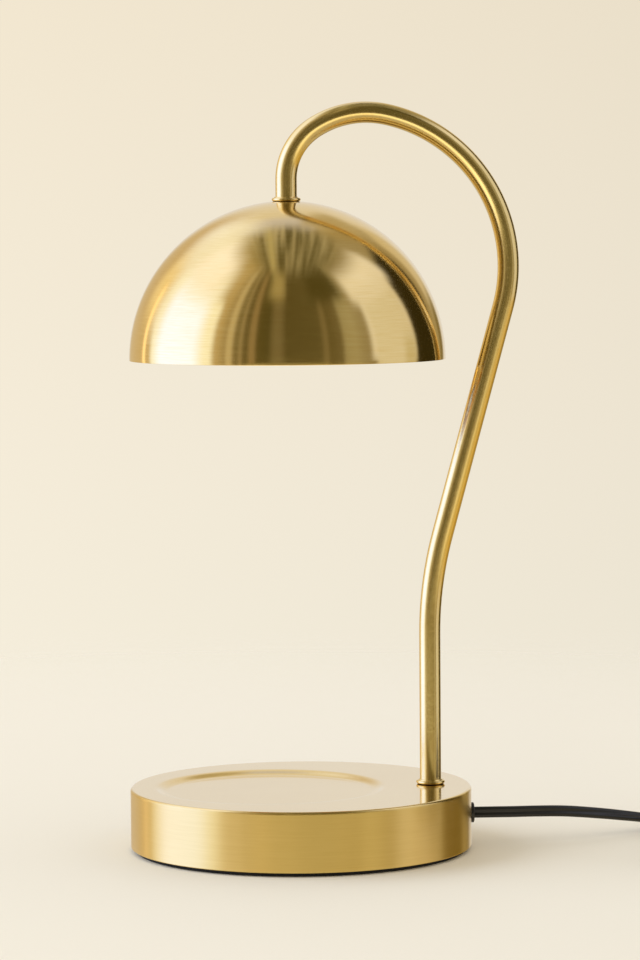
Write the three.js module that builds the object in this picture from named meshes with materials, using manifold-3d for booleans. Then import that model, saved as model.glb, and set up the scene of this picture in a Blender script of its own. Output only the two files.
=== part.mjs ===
import * as THREE from 'three';
import { mergeVertices } from 'three/addons/utils/BufferGeometryUtils.js';
import Module from 'manifold-3d';

// A table lamp that melts a candle from above: a round weighted base with a shallow dish, a bent tube and a
// dome shade over a reflector bulb. Millimetres, +Z up, origin on the table under the middle of the base,
// the tube bends in the XZ plane with its foot towards +X.

const wasm = await Module();
wasm.setup();

// Driving dimensions of the base
const baseRadius = 80;
const baseHeight = 29.5;
const padThickness = 2.1;
const padInset = 0.8;
const shellWall = 1.2;
const shellFillet = 1.3;
const dishRadiusShare = 0.6775;
const dishMargin = 11.3;
const dishDepth = 2;
const dishSlope = 6.5;
const weightThickness = 7;
const weightInset = 5.8;
const plateThickness = 1.6;
const plateScrewRing = 62;
const plateScrewRadius = 1.35;
const plateScrewLength = 10;

// Driving dimensions of the stem
const stemInset = 18.8;
const tubeRadius = 5;
const tubeWall = 1;
const riserHeight = 71;
const kickRadius = 178;
const kickTurn = THREE.MathUtils.degToRad(15.2);
const slantLength = 110.4;
const shoulderRadius = 72.4;
const shoulderTurn = THREE.MathUtils.degToRad(93);
const crownRadius = 44.5;
const crownTurn = THREE.MathUtils.degToRad(45);
const neckRadius = 28.5;
const neckDrop = 7.9;
const collarRadius = 6.75;
const collarHeight = 2.3;

// Driving dimensions of the shade, the lampholder and the bulb
const shadeRadius = 73.75;
const shadeWall = 0.8;
const crownLandRadius = 8;
const bracketWall = 1.2;
const bracketWidth = 14;
const bracketDrop = 8.7;
const holderLength = 35;
const holderWidth = 20;
const holderHeight = 15.1;
const holderScrewOffset = 13.5;
const pinOffset = 5;
const pinNeckRadius = 1.3;
const pinHeadRadius = 2.5;
const pinHeadHeight = 3.8;
const pinLength = 7;
const lockTurn = THREE.MathUtils.degToRad(20);
const bulbRadius = 25;
const bulbLength = 46;
const bulbBaseRadius = 12.5;
const bulbBaseHeight = 12.9;
const glassWall = 1.5;
const lensThickness = 2;

// Driving dimensions of the cord, the dimmer and the plug
const cordWidth = 5.3;
const cordThickness = 2.7;
const cordDrop = 3.6;
const bushingRadius = 4.75;
const bushingBarrelRadius = 4;
const bushingFlange = 1.6;
const bushingDepth = 4.6;
const dimmerLength = 62;
const dimmerWidth = 30;
const dimmerHeight = 20;
const dimmerParting = 8;
const dimmerWall = 1.6;
const dimmerCorner = 13;
const dialRadius = 10;
const dialProud = 2.4;
const grommetLength = 18;
const plugWidth = 24;
const plugThickness = 14;
const plugLength = 27;
const plugNeckLength = 20;
const bladeLength = 17;
const bladeWidth = 6.3;
const bladeThickness = 1.5;
const bladeSpacing = 12.7;

// Clearances shared by all pieces
const seatGap = 0.3;
const boreGap = 0.2;
const overrun = 1;

// How finely round things are drawn
const coarse = 12;
const medium = 24;
const fine = 48;

// Places that follow from the driving dimensions
const footX = baseRadius - stemInset;
const dishRadius = baseRadius * dishRadiusShare;
const dishX = dishMargin + dishRadius - baseRadius;
const topUnderside = baseHeight - shellWall;
const plateTop = padThickness + plateThickness;
const weightTop = baseHeight - dishDepth - shellWall - seatGap;
const weightBottom = weightTop - weightThickness;
const cordHeight = weightBottom - cordDrop;

// Materials
const brass = { color: 0xc29e57, roughness: 0.32, metalness: 1 };
const polishedBrass = { color: 0xc9a55c, roughness: 0.18, metalness: 1 };
const steel = { color: 0xb9bcc0, roughness: 0.4, metalness: 1 };
const castIron = { color: 0x3d3e40, roughness: 0.75, metalness: 0.6 };
const ceramic = { color: 0xe9e4da, roughness: 0.55, metalness: 0 };
const glass = { color: 0xdfe3e4, roughness: 0.08, metalness: 0 };
const mirrorGlass = { color: 0xc4c2bd, roughness: 0.15, metalness: 0.8 };
const blackFoam = { color: 0x171717, roughness: 0.9, metalness: 0 };
const blackPlastic = { color: 0x1b1b1d, roughness: 0.45, metalness: 0 };
const cordJacket = { color: 0x141416, roughness: 0.4, metalness: 0 };
const whiteSleeve = { color: 0xe4e0d6, roughness: 0.8, metalness: 0 };
const boardGreen = { color: 0x2f6b3a, roughness: 0.6, metalness: 0 };
const contactBrass = { color: 0xc8a24a, roughness: 0.3, metalness: 1 };

const lamp = new THREE.Group();

function addPiece(name, geometry, look, parent = lamp) {
  const mesh = new THREE.Mesh(geometry, new THREE.MeshStandardMaterial(look));
  mesh.name = name;
  parent.add(mesh);
  return mesh;
}

// A closed mesh as a solid that can be joined and cut
function toSolid(geometry) {
  const bare = geometry.clone();
  bare.deleteAttribute('normal');
  bare.deleteAttribute('uv');
  const merged = mergeVertices(bare);
  const corners = merged.index.array;
  const kept = [];
  for (let i = 0; i < corners.length; i += 3) {
    const [a, b, c] = [corners[i], corners[i + 1], corners[i + 2]];
    if (a !== b && b !== c && c !== a) kept.push(a, b, c);
  }
  const vertProperties = new Float32Array(merged.attributes.position.array);
  return new wasm.Manifold(new wasm.Mesh({ numProp: 3, vertProperties, triVerts: new Uint32Array(kept) }));
}

function toGeometry(solid) {
  const mesh = solid.getMesh();
  const geometry = new THREE.BufferGeometry();
  geometry.setAttribute('position', new THREE.BufferAttribute(new Float32Array(mesh.vertProperties), 3));
  geometry.setIndex(new THREE.BufferAttribute(new Uint32Array(mesh.triVerts), 1));
  geometry.computeVertexNormals();
  return geometry;
}

function cut(body, ...tools) {
  return toGeometry(tools.reduce((left, tool) => left.subtract(toSolid(tool)), toSolid(body)));
}

function join(body, ...others) {
  return toGeometry(others.reduce((sum, other) => sum.add(toSolid(other)), toSolid(body)));
}

function overlapOf(body, other) {
  return toGeometry(toSolid(body).intersect(toSolid(other)));
}

// A turned solid about the Z axis from [radius, height] points
function turned(profile, segments = medium) {
  const points = profile.map(([r, z]) => new THREE.Vector2(r, z));
  if (THREE.ShapeUtils.area(points) < 0) points.reverse();
  const onAxis = points.findIndex((p, i) => p.x === 0 && points[(i + 1) % points.length].x === 0);
  const ordered = onAxis < 0 ? [...points, points[0].clone()]
    : [...points.slice(onAxis + 1), ...points.slice(0, onAxis + 1)];
  return new THREE.LatheGeometry(ordered, segments).rotateX(Math.PI / 2);
}

function rod(radius, low, high, segments = coarse) {
  return turned([[0, low], [radius, low], [radius, high], [0, high]], segments);
}

function ring(inner, outer, low, high, segments = medium) {
  return turned([[inner, low], [outer, low], [outer, high], [inner, high]], segments);
}

function block(sizeX, sizeY, sizeZ, x, y, z) {
  return new THREE.BoxGeometry(sizeX, sizeY, sizeZ).translate(x, y, z);
}

// Points of an arc in a turned profile, angles in degrees from the radius axis
function arcPoints(r, z, radius, from, to, steps) {
  return Array.from({ length: steps + 1 }, (_, i) => {
    const angle = THREE.MathUtils.degToRad(from + (to - from) * i / steps);
    return [r + radius * Math.cos(angle), z + radius * Math.sin(angle)];
  });
}

// A route given by its stations, each with its own frame, so that bends get more stations than straights
class Route extends THREE.Curve {
  constructor(points, wides) {
    super();
    this.points = points;
    this.wides = wides;
  }

  getPoint(t) {
    const place = t * (this.points.length - 1);
    const i = Math.min(Math.floor(place), this.points.length - 2);
    return this.points[i].clone().lerp(this.points[i + 1], place - i);
  }

  getPointAt(u) {
    return this.getPoint(u);
  }

  tangentAtStation(i) {
    const before = this.points[Math.max(i - 1, 0)];
    const here = this.points[i];
    const after = this.points[Math.min(i + 1, this.points.length - 1)];
    const first = i > 0 ? here.clone().sub(before).normalize() : new THREE.Vector3();
    const second = i < this.points.length - 1 ? after.clone().sub(here).normalize() : new THREE.Vector3();
    return first.add(second).normalize();
  }

  computeFrenetFrames() {
    const tangents = this.points.map((_, i) => this.tangentAtStation(i));
    const normals = tangents.map((tangent, i) => {
      const wide = this.wides[i].clone();
      return wide.addScaledVector(tangent, -wide.dot(tangent)).normalize();
    });
    const binormals = tangents.map((tangent, i) => tangent.clone().cross(normals[i]));
    return { tangents, normals, binormals };
  }
}

function swept(points, wides, shape) {
  const extrudePath = new Route(points, wides);
  return new THREE.ExtrudeGeometry(shape, { steps: points.length - 1, extrudePath, curveSegments: 1 });
}

function roundShape(radius, sides, boreRadius = 0) {
  const corners = (r) => Array.from({ length: sides }, (_, i) => {
    const angle = 2 * Math.PI * i / sides;
    return new THREE.Vector2(r * Math.cos(angle), r * Math.sin(angle));
  });
  const shape = new THREE.Shape(corners(radius));
  if (boreRadius) shape.holes.push(new THREE.Path(corners(boreRadius)));
  return shape;
}

// Section of the flat twin cord: its width along the first axis
const cordSlopeShare = 0.6;
const cordEdgeShare = 0.45;

function cordShape(sides) {
  const [w, t] = [cordWidth / 2, cordThickness / 2];
  const quarter = sides === 6 ? [[w, 0], [w * cordSlopeShare, t]]
    : [[w, t * cordEdgeShare], [w * cordSlopeShare, t]];
  const upper = [...quarter, ...quarter.map(([x, y]) => [-x, y]).reverse()];
  const lower = upper.filter(([, y]) => y > 0).map(([x, y]) => [x, -y]).reverse();
  return new THREE.Shape([...upper, ...lower].map(([x, y]) => new THREE.Vector2(x, y)));
}

// The bent centreline of the stem: straights and arcs, heading measured from +Z towards +X
const bendStep = THREE.MathUtils.degToRad(6.5);

function bentLine(startX, startZ, runs) {
  let [x, z, heading] = [startX, startZ, 0];
  const points = [new THREE.Vector3(x, 0, z)];
  for (const { straight, radius, turn } of runs) {
    if (straight !== undefined) {
      x += straight * Math.sin(heading);
      z += straight * Math.cos(heading);
      points.push(new THREE.Vector3(x, 0, z));
      continue;
    }
    const steps = Math.max(2, Math.ceil(Math.abs(turn) / bendStep));
    const side = Math.sign(turn);
    const centreX = x + side * radius * Math.cos(heading);
    const centreZ = z - side * radius * Math.sin(heading);
    const start = heading;
    for (let i = 1; i <= steps; i += 1) {
      heading = start + turn * i / steps;
      x = centreX - side * radius * Math.cos(heading);
      z = centreZ + side * radius * Math.sin(heading);
      points.push(new THREE.Vector3(x, 0, z));
    }
  }
  return points;
}

// The stem's visible line runs from the top of the base to the top of the neck collar
const neckTurn = Math.PI + kickTurn - shoulderTurn - crownTurn;
const visibleLine = bentLine(footX, baseHeight, [
  { straight: riserHeight },
  { radius: kickRadius, turn: kickTurn },
  { straight: slantLength },
  { radius: shoulderRadius, turn: -shoulderTurn },
  { radius: crownRadius, turn: -crownTurn },
  { radius: neckRadius, turn: -neckTurn },
  { straight: neckDrop },
]);
const neckEnd = visibleLine[visibleLine.length - 1];
const neckX = neckEnd.x;
const crownTop = neckEnd.z - collarHeight;

// Threaded ends of the stem with their washers and nuts
const washerRadius = 9;
const washerThickness = 1.2;
const nutFlat = 14;
const nutThickness = 3;
const threadProud = 1.5;
const pocketDepth = 3.5;
const bossRadius = 9;
const footSeat = weightBottom + pocketDepth;
const stemBottom = footSeat - washerThickness - nutThickness - threadProud;
const crownUnderside = crownTop - shadeWall;
const neckWasherRadius = 7.5;
const neckWasherThickness = 1;
const bracketTop = crownUnderside - neckWasherThickness;
const neckNutTop = bracketTop - bracketWall;
const stemEndZ = neckNutTop - nutThickness - threadProud;

const stemLine = [
  new THREE.Vector3(footX, 0, stemBottom),
  ...visibleLine,
  new THREE.Vector3(neckX, 0, stemEndZ),
];
const acrossStem = stemLine.map(() => new THREE.Vector3(0, 1, 0));

function stemTube() {
  const sides = 12;
  return swept(stemLine, acrossStem, roundShape(tubeRadius, sides, tubeRadius - tubeWall));
}

// A rounded bead ring round the tube, standing on its lower face
const collarLip = 0.35;

function collar(x, z) {
  const bore = tubeRadius + boreGap;
  const bulge = collarHeight / 2 - collarLip;
  const bead = arcPoints(collarRadius - bulge, z + collarHeight / 2, bulge, -90, 90, 3);
  return turned([
    [bore, z], [collarRadius - bulge, z], ...bead, [collarRadius - bulge, z + collarHeight],
    [bore, z + collarHeight],
  ], medium).translate(x, 0, 0);
}

function washer(x, top, radius, thickness) {
  return ring(tubeRadius + boreGap, radius, top - thickness, top, coarse).translate(x, 0, 0);
}

function nut(x, top) {
  const corner = nutFlat / Math.sqrt(3);
  const hex = new THREE.ExtrudeGeometry(roundShape(corner, 6), { depth: nutThickness, bevelEnabled: false });
  const bore = rod(tubeRadius + boreGap, -overrun, nutThickness + overrun);
  return cut(hex, bore).translate(x, 0, top - nutThickness);
}

// The wall of the dish: a soft S from the floor up to the rim
const dishWallSteps = 4;

function dishProfile(drop, top) {
  const wall = Array.from({ length: dishWallSteps + 1 }, (_, i) => {
    const t = i / dishWallSteps;
    const rise = t * t * (3 - 2 * t);
    return [dishRadius - dishSlope * (1 - t) + drop, baseHeight - drop - dishDepth * (1 - rise)];
  });
  const edge = wall[wall.length - 1][0];
  return [[0, baseHeight - drop - dishDepth], ...wall, [edge, top], [0, top]];
}

function baseShell() {
  const filletSteps = 3;
  const outside = turned([
    [0, padThickness], [baseRadius, padThickness],
    ...arcPoints(baseRadius - shellFillet, baseHeight - shellFillet, shellFillet, 0, 90, filletSteps),
    [0, baseHeight],
  ], fine);
  const innerRadius = baseRadius - shellWall;
  const inside = turned([
    [0, padThickness - overrun], [innerRadius, padThickness - overrun],
    [innerRadius, topUnderside], [0, topUnderside],
  ], fine);
  const bulge = turned(dishProfile(shellWall, topUnderside + overrun), fine).translate(dishX, 0, 0);
  const dish = turned(dishProfile(0, baseHeight + overrun), fine).translate(dishX, 0, 0);
  const stemHole = rod(tubeRadius + boreGap, topUnderside - overrun, baseHeight + overrun).translate(footX, 0, 0);
  const cordHole = rod(bushingBarrelRadius + boreGap, innerRadius - overrun, baseRadius + overrun)
    .rotateY(Math.PI / 2).translate(0, 0, cordHeight);
  return cut(outside, cut(inside, bulge), dish, stemHole, cordHole);
}

// Places of the three legs under the weight, which the plate screws enter
const legRadius = 4.5;
const legAngles = [60, 180, 300].map(THREE.MathUtils.degToRad);
const legPlaces = legAngles.map((a) => [plateScrewRing * Math.cos(a), plateScrewRing * Math.sin(a)]);
const pocketGap = 1.2;

function baseWeight() {
  const disc = rod(baseRadius - weightInset - shellWall, weightBottom, weightTop, fine);
  const boss = rod(bossRadius, weightTop - overrun, topUnderside).translate(footX, 0, 0);
  const legs = legPlaces.map(([x, y]) => rod(legRadius, plateTop, weightBottom + overrun).translate(x, y, 0));
  const stemHole = rod(tubeRadius + boreGap, weightBottom - overrun, topUnderside + overrun);
  const pocket = rod(washerRadius + pocketGap, weightBottom - overrun, footSeat, medium);
  const taps = legPlaces.map(([x, y]) => rod(
    plateScrewRadius + boreGap, plateTop - overrun, padThickness + plateScrewLength + overrun,
  ).translate(x, y, 0));
  return cut(
    join(disc, boss, ...legs),
    stemHole.translate(footX, 0, 0), pocket.translate(footX, 0, 0), ...taps,
  );
}

const plateGap = 0.4;
const screwHeadRadius = 2.8;
const screwSink = 0.05;

function bottomPlate() {
  const disc = rod(baseRadius - shellWall - plateGap, padThickness, plateTop, fine);
  const sinks = legPlaces.map(([x, y]) => turned([
    [0, padThickness - overrun], [screwHeadRadius + boreGap, padThickness - overrun],
    [screwHeadRadius + boreGap, padThickness], [plateScrewRadius + boreGap, plateTop],
    [plateScrewRadius + boreGap, plateTop + overrun], [0, plateTop + overrun],
  ], coarse).translate(x, y, 0));
  return cut(disc, ...sinks);
}

function plateScrew([x, y]) {
  const low = padThickness + screwSink;
  return turned([
    [0, low], [screwHeadRadius, low], [plateScrewRadius, plateTop], [plateScrewRadius, low + plateScrewLength],
    [0, low + plateScrewLength],
  ], coarse).translate(x, y, 0);
}

function basePad() {
  const edge = 0.4;
  const radius = baseRadius - padInset;
  return turned([
    [0, 0], [radius - edge, 0], [radius, edge], [radius, padThickness], [0, padThickness],
  ], fine);
}

addPiece('base_pad', basePad(), blackFoam);
addPiece('base_bottom_plate', bottomPlate(), steel);
legPlaces.forEach((place, i) => addPiece(`plate_screw_${i + 1}`, plateScrew(place), steel));
addPiece('base_weight', baseWeight(), castIron);
addPiece('base_shell', baseShell(), brass);
addPiece('foot_collar', collar(footX, baseHeight), polishedBrass);
addPiece('foot_washer', washer(footX, footSeat, washerRadius, washerThickness), steel);
addPiece('foot_nut', nut(footX, footSeat - washerThickness), steel);
addPiece('stem_tube', stemTube(), polishedBrass);

// The spun dome: a half sphere with a flat land at its crown
const rimZ = crownTop - Math.sqrt(shadeRadius ** 2 - crownLandRadius ** 2);

function shade() {
  const steps = 10;
  const inner = shadeRadius - shadeWall;
  const crownAngle = THREE.MathUtils.radToDeg(Math.acos(crownLandRadius / shadeRadius));
  const innerLandRadius = Math.sqrt(inner ** 2 - (crownUnderside - rimZ) ** 2);
  const innerAngle = THREE.MathUtils.radToDeg(Math.acos(innerLandRadius / inner));
  const bore = tubeRadius + boreGap;
  return turned([
    ...arcPoints(0, rimZ, shadeRadius, 0, crownAngle, steps),
    [bore, crownTop], [bore, crownUnderside],
    ...arcPoints(0, rimZ, inner, innerAngle, 0, steps),
  ], fine).translate(neckX, 0, 0);
}

addPiece('neck_collar', collar(neckX, crownTop), polishedBrass);
addPiece('shade', shade(), brass);
addPiece('neck_washer', washer(neckX, crownUnderside, neckWasherRadius, neckWasherThickness), steel);
addPiece('neck_nut', nut(neckX, neckNutTop), steel);

// The strap that hangs the lampholder under the neck nut
const bracketFoot = 7;
const bracketInner = 9;
const holderTop = bracketTop - bracketWall - bracketDrop - bracketWall;
const holderBottom = holderTop - holderHeight;
const holderScrewRadius = 1.4;
const holderScrewHead = 2.6;
const holderScrewHeadHeight = 1.8;

function socketBracket() {
  const outer = bracketInner + bracketWall;
  const low = holderTop;
  const high = holderTop + bracketWall;
  const half = [
    [bracketInner, neckNutTop], [bracketInner, low], [outer + bracketFoot, low], [outer + bracketFoot, high],
    [outer, high], [outer, bracketTop],
  ];
  const outline = [...half, ...half.map(([x, z]) => [-x, z]).reverse()];
  const shape = new THREE.Shape(outline.map(([x, z]) => new THREE.Vector2(x, z)));
  const strap = new THREE.ExtrudeGeometry(shape, { depth: bracketWidth, bevelEnabled: false })
    .rotateX(Math.PI / 2).translate(0, bracketWidth / 2, 0);
  const stemHole = rod(tubeRadius + boreGap, neckNutTop - overrun, bracketTop + overrun);
  const screwHoles = [-1, 1].map((side) => rod(holderScrewRadius + boreGap, low - overrun, high + overrun)
    .translate(side * holderScrewOffset, 0, 0));
  return cut(strap, stemHole, ...screwHoles).translate(neckX, 0, 0);
}

// A curved slot about the bulb's axis, from the entry angle to the locked angle
function arcSlot(radius, halfWidth, from, to, low, high) {
  const shape = new THREE.Shape();
  const at = (r, a) => [r * Math.cos(a), r * Math.sin(a)];
  shape.moveTo(...at(radius + halfWidth, from));
  shape.absarc(0, 0, radius + halfWidth, from, to, false);
  shape.absarc(...at(radius, to), halfWidth, to, to + Math.PI, false);
  shape.absarc(0, 0, radius - halfWidth, to, from, true);
  shape.absarc(...at(radius, from), halfWidth, from + Math.PI, from + 2 * Math.PI, false);
  return new THREE.ExtrudeGeometry(shape, { depth: high - low, bevelEnabled: false, curveSegments: 4 })
    .translate(0, 0, low);
}

// The keyhole slots of the lampholder: a narrow slot below, a wide chamber above, an entry hole at one end
const slotFloor = 2.6;
const headPlay = 0.4;
const contactThickness = 1;
const pinTop = holderBottom - seatGap + pinLength;
const chamberTop = pinTop + headPlay + contactThickness + seatGap;
const pinAngles = [0, Math.PI];

function lampholder() {
  const end = (holderLength - holderWidth) / 2;
  const shape = new THREE.Shape();
  shape.absarc(end, 0, holderWidth / 2, -Math.PI / 2, Math.PI / 2, false);
  shape.absarc(-end, 0, holderWidth / 2, Math.PI / 2, 3 * Math.PI / 2, false);
  const body = new THREE.ExtrudeGeometry(shape, { depth: holderHeight, bevelEnabled: false, curveSegments: 8 })
    .translate(0, 0, holderBottom);
  const slots = pinAngles.flatMap((angle) => [
    arcSlot(pinOffset, pinNeckRadius + headPlay, angle - lockTurn, angle, holderBottom - overrun,
      holderBottom + slotFloor + overrun),
    arcSlot(pinOffset, pinHeadRadius + headPlay, angle - lockTurn, angle, holderBottom + slotFloor, chamberTop),
    rod(pinHeadRadius + headPlay, holderBottom - overrun, holderBottom + slotFloor + overrun)
      .translate(pinOffset * Math.cos(angle - lockTurn), pinOffset * Math.sin(angle - lockTurn), 0),
  ]);
  const screwHoles = [-1, 1].flatMap((side) => [
    rod(holderScrewRadius + boreGap, holderBottom - overrun, holderTop + overrun),
    rod(holderScrewHead + boreGap, holderBottom - overrun, holderBottom + holderScrewHeadHeight + seatGap),
  ].map((hole) => hole.translate(side * holderScrewOffset, 0, 0)));
  return cut(body, ...slots, ...screwHoles).translate(neckX, 0, 0);
}

function socketContact(angle) {
  const halfWidth = pinHeadRadius - seatGap;
  const low = pinTop + headPlay;
  return arcSlot(pinOffset, halfWidth, angle - lockTurn, angle, low, low + contactThickness)
    .translate(neckX, 0, 0);
}

function holderScrew(side) {
  const low = holderBottom + seatGap;
  const shoulder = low + holderScrewHeadHeight;
  return turned([
    [0, low], [holderScrewHead, low], [holderScrewHead, shoulder], [holderScrewRadius, shoulder],
    [holderScrewRadius, holderTop + bracketWall + threadProud], [0, holderTop + bracketWall + threadProud],
  ], coarse).translate(neckX + side * holderScrewOffset, 0, 0);
}

addPiece('socket_bracket', socketBracket(), steel);
addPiece('lampholder', lampholder(), ceramic);
pinAngles.forEach((angle, i) => addPiece(`socket_contact_${i + 1}`, socketContact(angle), contactBrass));
[-1, 1].forEach((side, i) => addPiece(`holder_screw_${i + 1}`, holderScrew(side), steel));

// The reflector bulb, hanging by its two headed pins
const bulb = new THREE.Group();
bulb.position.set(neckX, 0, 0);
lamp.add(bulb);
const bulbTop = holderBottom - seatGap;
const bulbFace = bulbTop - bulbLength;
const bulbNeck = bulbTop - bulbBaseHeight;
const neckGlassRadius = 11.5;
const glassFloor = 3;
const rimBand = 1.6;
const capsuleRadius = 4.5;
const capsuleLength = 22;

function bulbBase() {
  const chamfer = 1.2;
  return turned([
    [0, bulbNeck], [bulbBaseRadius, bulbNeck], [bulbBaseRadius, bulbTop - chamfer],
    [bulbBaseRadius - chamfer, bulbTop], [0, bulbTop],
  ]);
}

// Outside of the reflector: from the neck to the rim as a quarter of an ellipse-like flare
const flareSteps = 6;

function flare(inset) {
  const low = bulbFace + lensThickness + rimBand;
  return Array.from({ length: flareSteps + 1 }, (_, i) => {
    const t = i / flareSteps;
    const radius = neckGlassRadius + (bulbRadius - neckGlassRadius) * Math.sin(t * Math.PI / 2);
    return [radius - inset, bulbNeck - (bulbNeck - low) * t * t];
  });
}

function bulbReflector() {
  const outside = flare(0);
  const inside = flare(glassWall).filter(([, z]) => z < bulbNeck - glassFloor).reverse();
  const seat = bulbFace + lensThickness;
  return turned([
    [0, bulbNeck], ...outside, [bulbRadius, seat], [bulbRadius - glassWall, seat], ...inside.slice(1),
    [inside[inside.length - 1][0] - glassWall, bulbNeck - glassFloor], [0, bulbNeck - glassFloor],
  ]);
}

function bulbLens() {
  const edge = 0.5;
  return turned([
    [0, bulbFace], [bulbRadius - edge, bulbFace], [bulbRadius, bulbFace + edge],
    [bulbRadius, bulbFace + lensThickness], [0, bulbFace + lensThickness],
  ]);
}

function bulbCapsule() {
  const high = bulbNeck - glassFloor;
  const low = high - capsuleLength;
  const tip = arcPoints(0, low + capsuleRadius, capsuleRadius, -90, 0, 4);
  return turned([...tip, [capsuleRadius, high], [0, high]], coarse);
}

function bulbPin(angle) {
  const shoulder = bulbTop + pinLength - pinHeadHeight;
  return turned([
    [0, bulbTop], [pinNeckRadius, bulbTop], [pinNeckRadius, shoulder], [pinHeadRadius, shoulder],
    [pinHeadRadius, bulbTop + pinLength], [0, bulbTop + pinLength],
  ], coarse).translate(pinOffset * Math.cos(angle), pinOffset * Math.sin(angle), 0);
}

addPiece('bulb_base', bulbBase(), ceramic, bulb);
addPiece('bulb_reflector', bulbReflector(), mirrorGlass, bulb);
addPiece('bulb_lens', bulbLens(), glass, bulb);
addPiece('bulb_capsule', bulbCapsule(), glass, bulb);
pinAngles.forEach((angle, i) => addPiece(`bulb_pin_${i + 1}`, bulbPin(angle), steel, bulb));

// The cord bushing in the side of the base
function cordBushing() {
  const inner = baseRadius - bushingDepth;
  const soften = 0.5;
  return turned([
    [0, inner], [bushingBarrelRadius, inner], [bushingBarrelRadius, baseRadius], [bushingRadius, baseRadius],
    [bushingRadius, baseRadius + bushingFlange - soften],
    [bushingRadius - soften, baseRadius + bushingFlange], [0, baseRadius + bushingFlange],
  ]).rotateY(Math.PI / 2).translate(0, 0, cordHeight);
}

addPiece('cord_bushing', cordBushing(), blackPlastic);

// A smooth line through points chosen by hand, as stations about a given step apart, with straight ends
function smoothLine(points, step) {
  const curve = new THREE.CatmullRomCurve3(points.map((p) => new THREE.Vector3(...p)), false, 'centripetal');
  const spans = points.length - 1;
  const steps = Math.round(curve.getLength() / step);
  const between = Array.from({ length: steps + 1 }, (_, i) => curve.getPoint((1 + (spans - 2) * i / steps) / spans));
  return [curve.getPoint(0), ...between, curve.getPoint(1)];
}

// The cord's width lies flat at 0 and stands on edge at 90 degrees
function cordWides(stations, edgeAngles) {
  return stations.map((point, i) => {
    const ahead = stations[Math.min(i + 1, stations.length - 1)];
    const behind = stations[Math.max(i - 1, 0)];
    const along = ahead.clone().sub(behind).normalize();
    const side = new THREE.Vector3(0, 0, 1).cross(along).normalize();
    const place = i / (stations.length - 1) * (edgeAngles.length - 1);
    const k = Math.min(Math.floor(place), edgeAngles.length - 2);
    const angle = THREE.MathUtils.degToRad(THREE.MathUtils.lerp(edgeAngles[k], edgeAngles[k + 1], place - k));
    const up = along.clone().cross(side);
    return side.multiplyScalar(Math.cos(angle)).addScaledVector(up, Math.sin(angle));
  });
}

function flatCord(points, edgeAngles, step) {
  const stations = smoothLine(points, step);
  return swept(stations, cordWides(stations, edgeAngles), cordShape(8));
}

// Wiring in the base: the cord's tail splits into two cores, each spliced to a lead that climbs the stem
const coreRadius = 1.25;
const leadRadius = 1.1;
const leadOffset = 2;
const capRadius = 3.5;
const capLength = 14;
const capReach = 27.2;
const capX = footX - capReach;
const capZ = plateTop + seatGap + capRadius;
const capPlaces = [12, -2];
const spliceOffset = 1.7;
const wireSides = 5;

function wire(points, radius, step) {
  const stations = smoothLine(points, step);
  const wides = stations.map(() => new THREE.Vector3(0, 1, 0));
  return swept(stations, wides, roundShape(radius, wireSides));
}

// Points beside the foot of the stem: x from the stem, z from the plate, the cord's outlet or the stem's end
const nearFoot = (from, points) => points.map(([x, y, z]) => [footX + x, y, from + z]);
const intoCap = (place, side, radius) => [
  [capX + 2 * radius, capPlaces[place] + side * spliceOffset, capZ],
  [capX + seatGap, capPlaces[place] + side * spliceOffset, capZ],
];

const cordTailRoute = [
  [baseRadius - bushingDepth - seatGap, 0, cordHeight],
  ...nearFoot(cordHeight, [[12.4, 0, 0], [9.8, 1, -1], [4.8, 4, -4.2]]),
  ...nearFoot(plateTop, [[-2.2, 8, 4.3], [-9.2, 9, 2.7], [-16.2, 9, 2.5]]),
];
const coreRoutes = [
  [...nearFoot(plateTop, [[-13.2, 10.3, 2.5], [-17.2, 10.8, 2.5], [-22.2, 13, 3.4]]), ...intoCap(0, 1, coreRadius)],
  [...nearFoot(plateTop, [[-13.2, 7.7, 2.5], [-17.2, 6.8, 2.1], [-22.2, 1.6, 2.7]]), ...intoCap(1, 1, coreRadius)],
];
const leadRoutes = [
  [...intoCap(0, -1, leadRadius).reverse(),
    ...nearFoot(stemBottom, [[-20.2, 10, -6.4], [-12.2, 7, -4.6], [-5.2, 4, -4.2], [-1.2, 2.4, -2.8]])],
  [...intoCap(1, -1, leadRadius).reverse(),
    ...nearFoot(stemBottom, [[-15.2, -4, -8.3], [-6.2, -3.5, -6.3], [-1.2, -2.4, -3.8]])],
];

function cordTail() {
  const step = 5;
  return join(flatCord(cordTailRoute, [90, 45, 0, 0], step), ...coreRoutes.map((route) => wire(route, coreRadius, step)));
}

function stemLead(i) {
  const side = i === 0 ? 1 : -1;
  const shifted = stemLine.map((p) => p.clone().setY(side * leadOffset));
  const [entry, ...climb] = shifted;
  const step = 4;
  const approach = smoothLine([...leadRoutes[i], [entry.x, entry.y, entry.z]], step);
  const end = climb[climb.length - 1].clone().setZ(holderTop + seatGap);
  const stations = [...approach, ...climb, end];
  return swept(stations, stations.map(() => new THREE.Vector3(0, 1, 0)), roundShape(leadRadius, wireSides));
}

function spliceCap(y) {
  const tip = 1.6;
  return turned([
    [0, 0], [capRadius, 0], [capRadius, capLength - tip], [capRadius - tip, capLength], [0, capLength],
  ], coarse).rotateY(-Math.PI / 2).translate(capX, y, capZ);
}

addPiece('cord_tail', cordTail(), cordJacket);
addPiece('stem_lead_1', stemLead(0), whiteSleeve);
addPiece('stem_lead_2', stemLead(1), whiteSleeve);
capPlaces.forEach((y, i) => addPiece(`splice_cap_${i + 1}`, spliceCap(y), whiteSleeve));

// Where the dimmer and the plug lie
const dimmerPlace = new THREE.Vector3(292, -34, 0);
const plugPlace = new THREE.Vector3(186, 18, 0);

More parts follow.
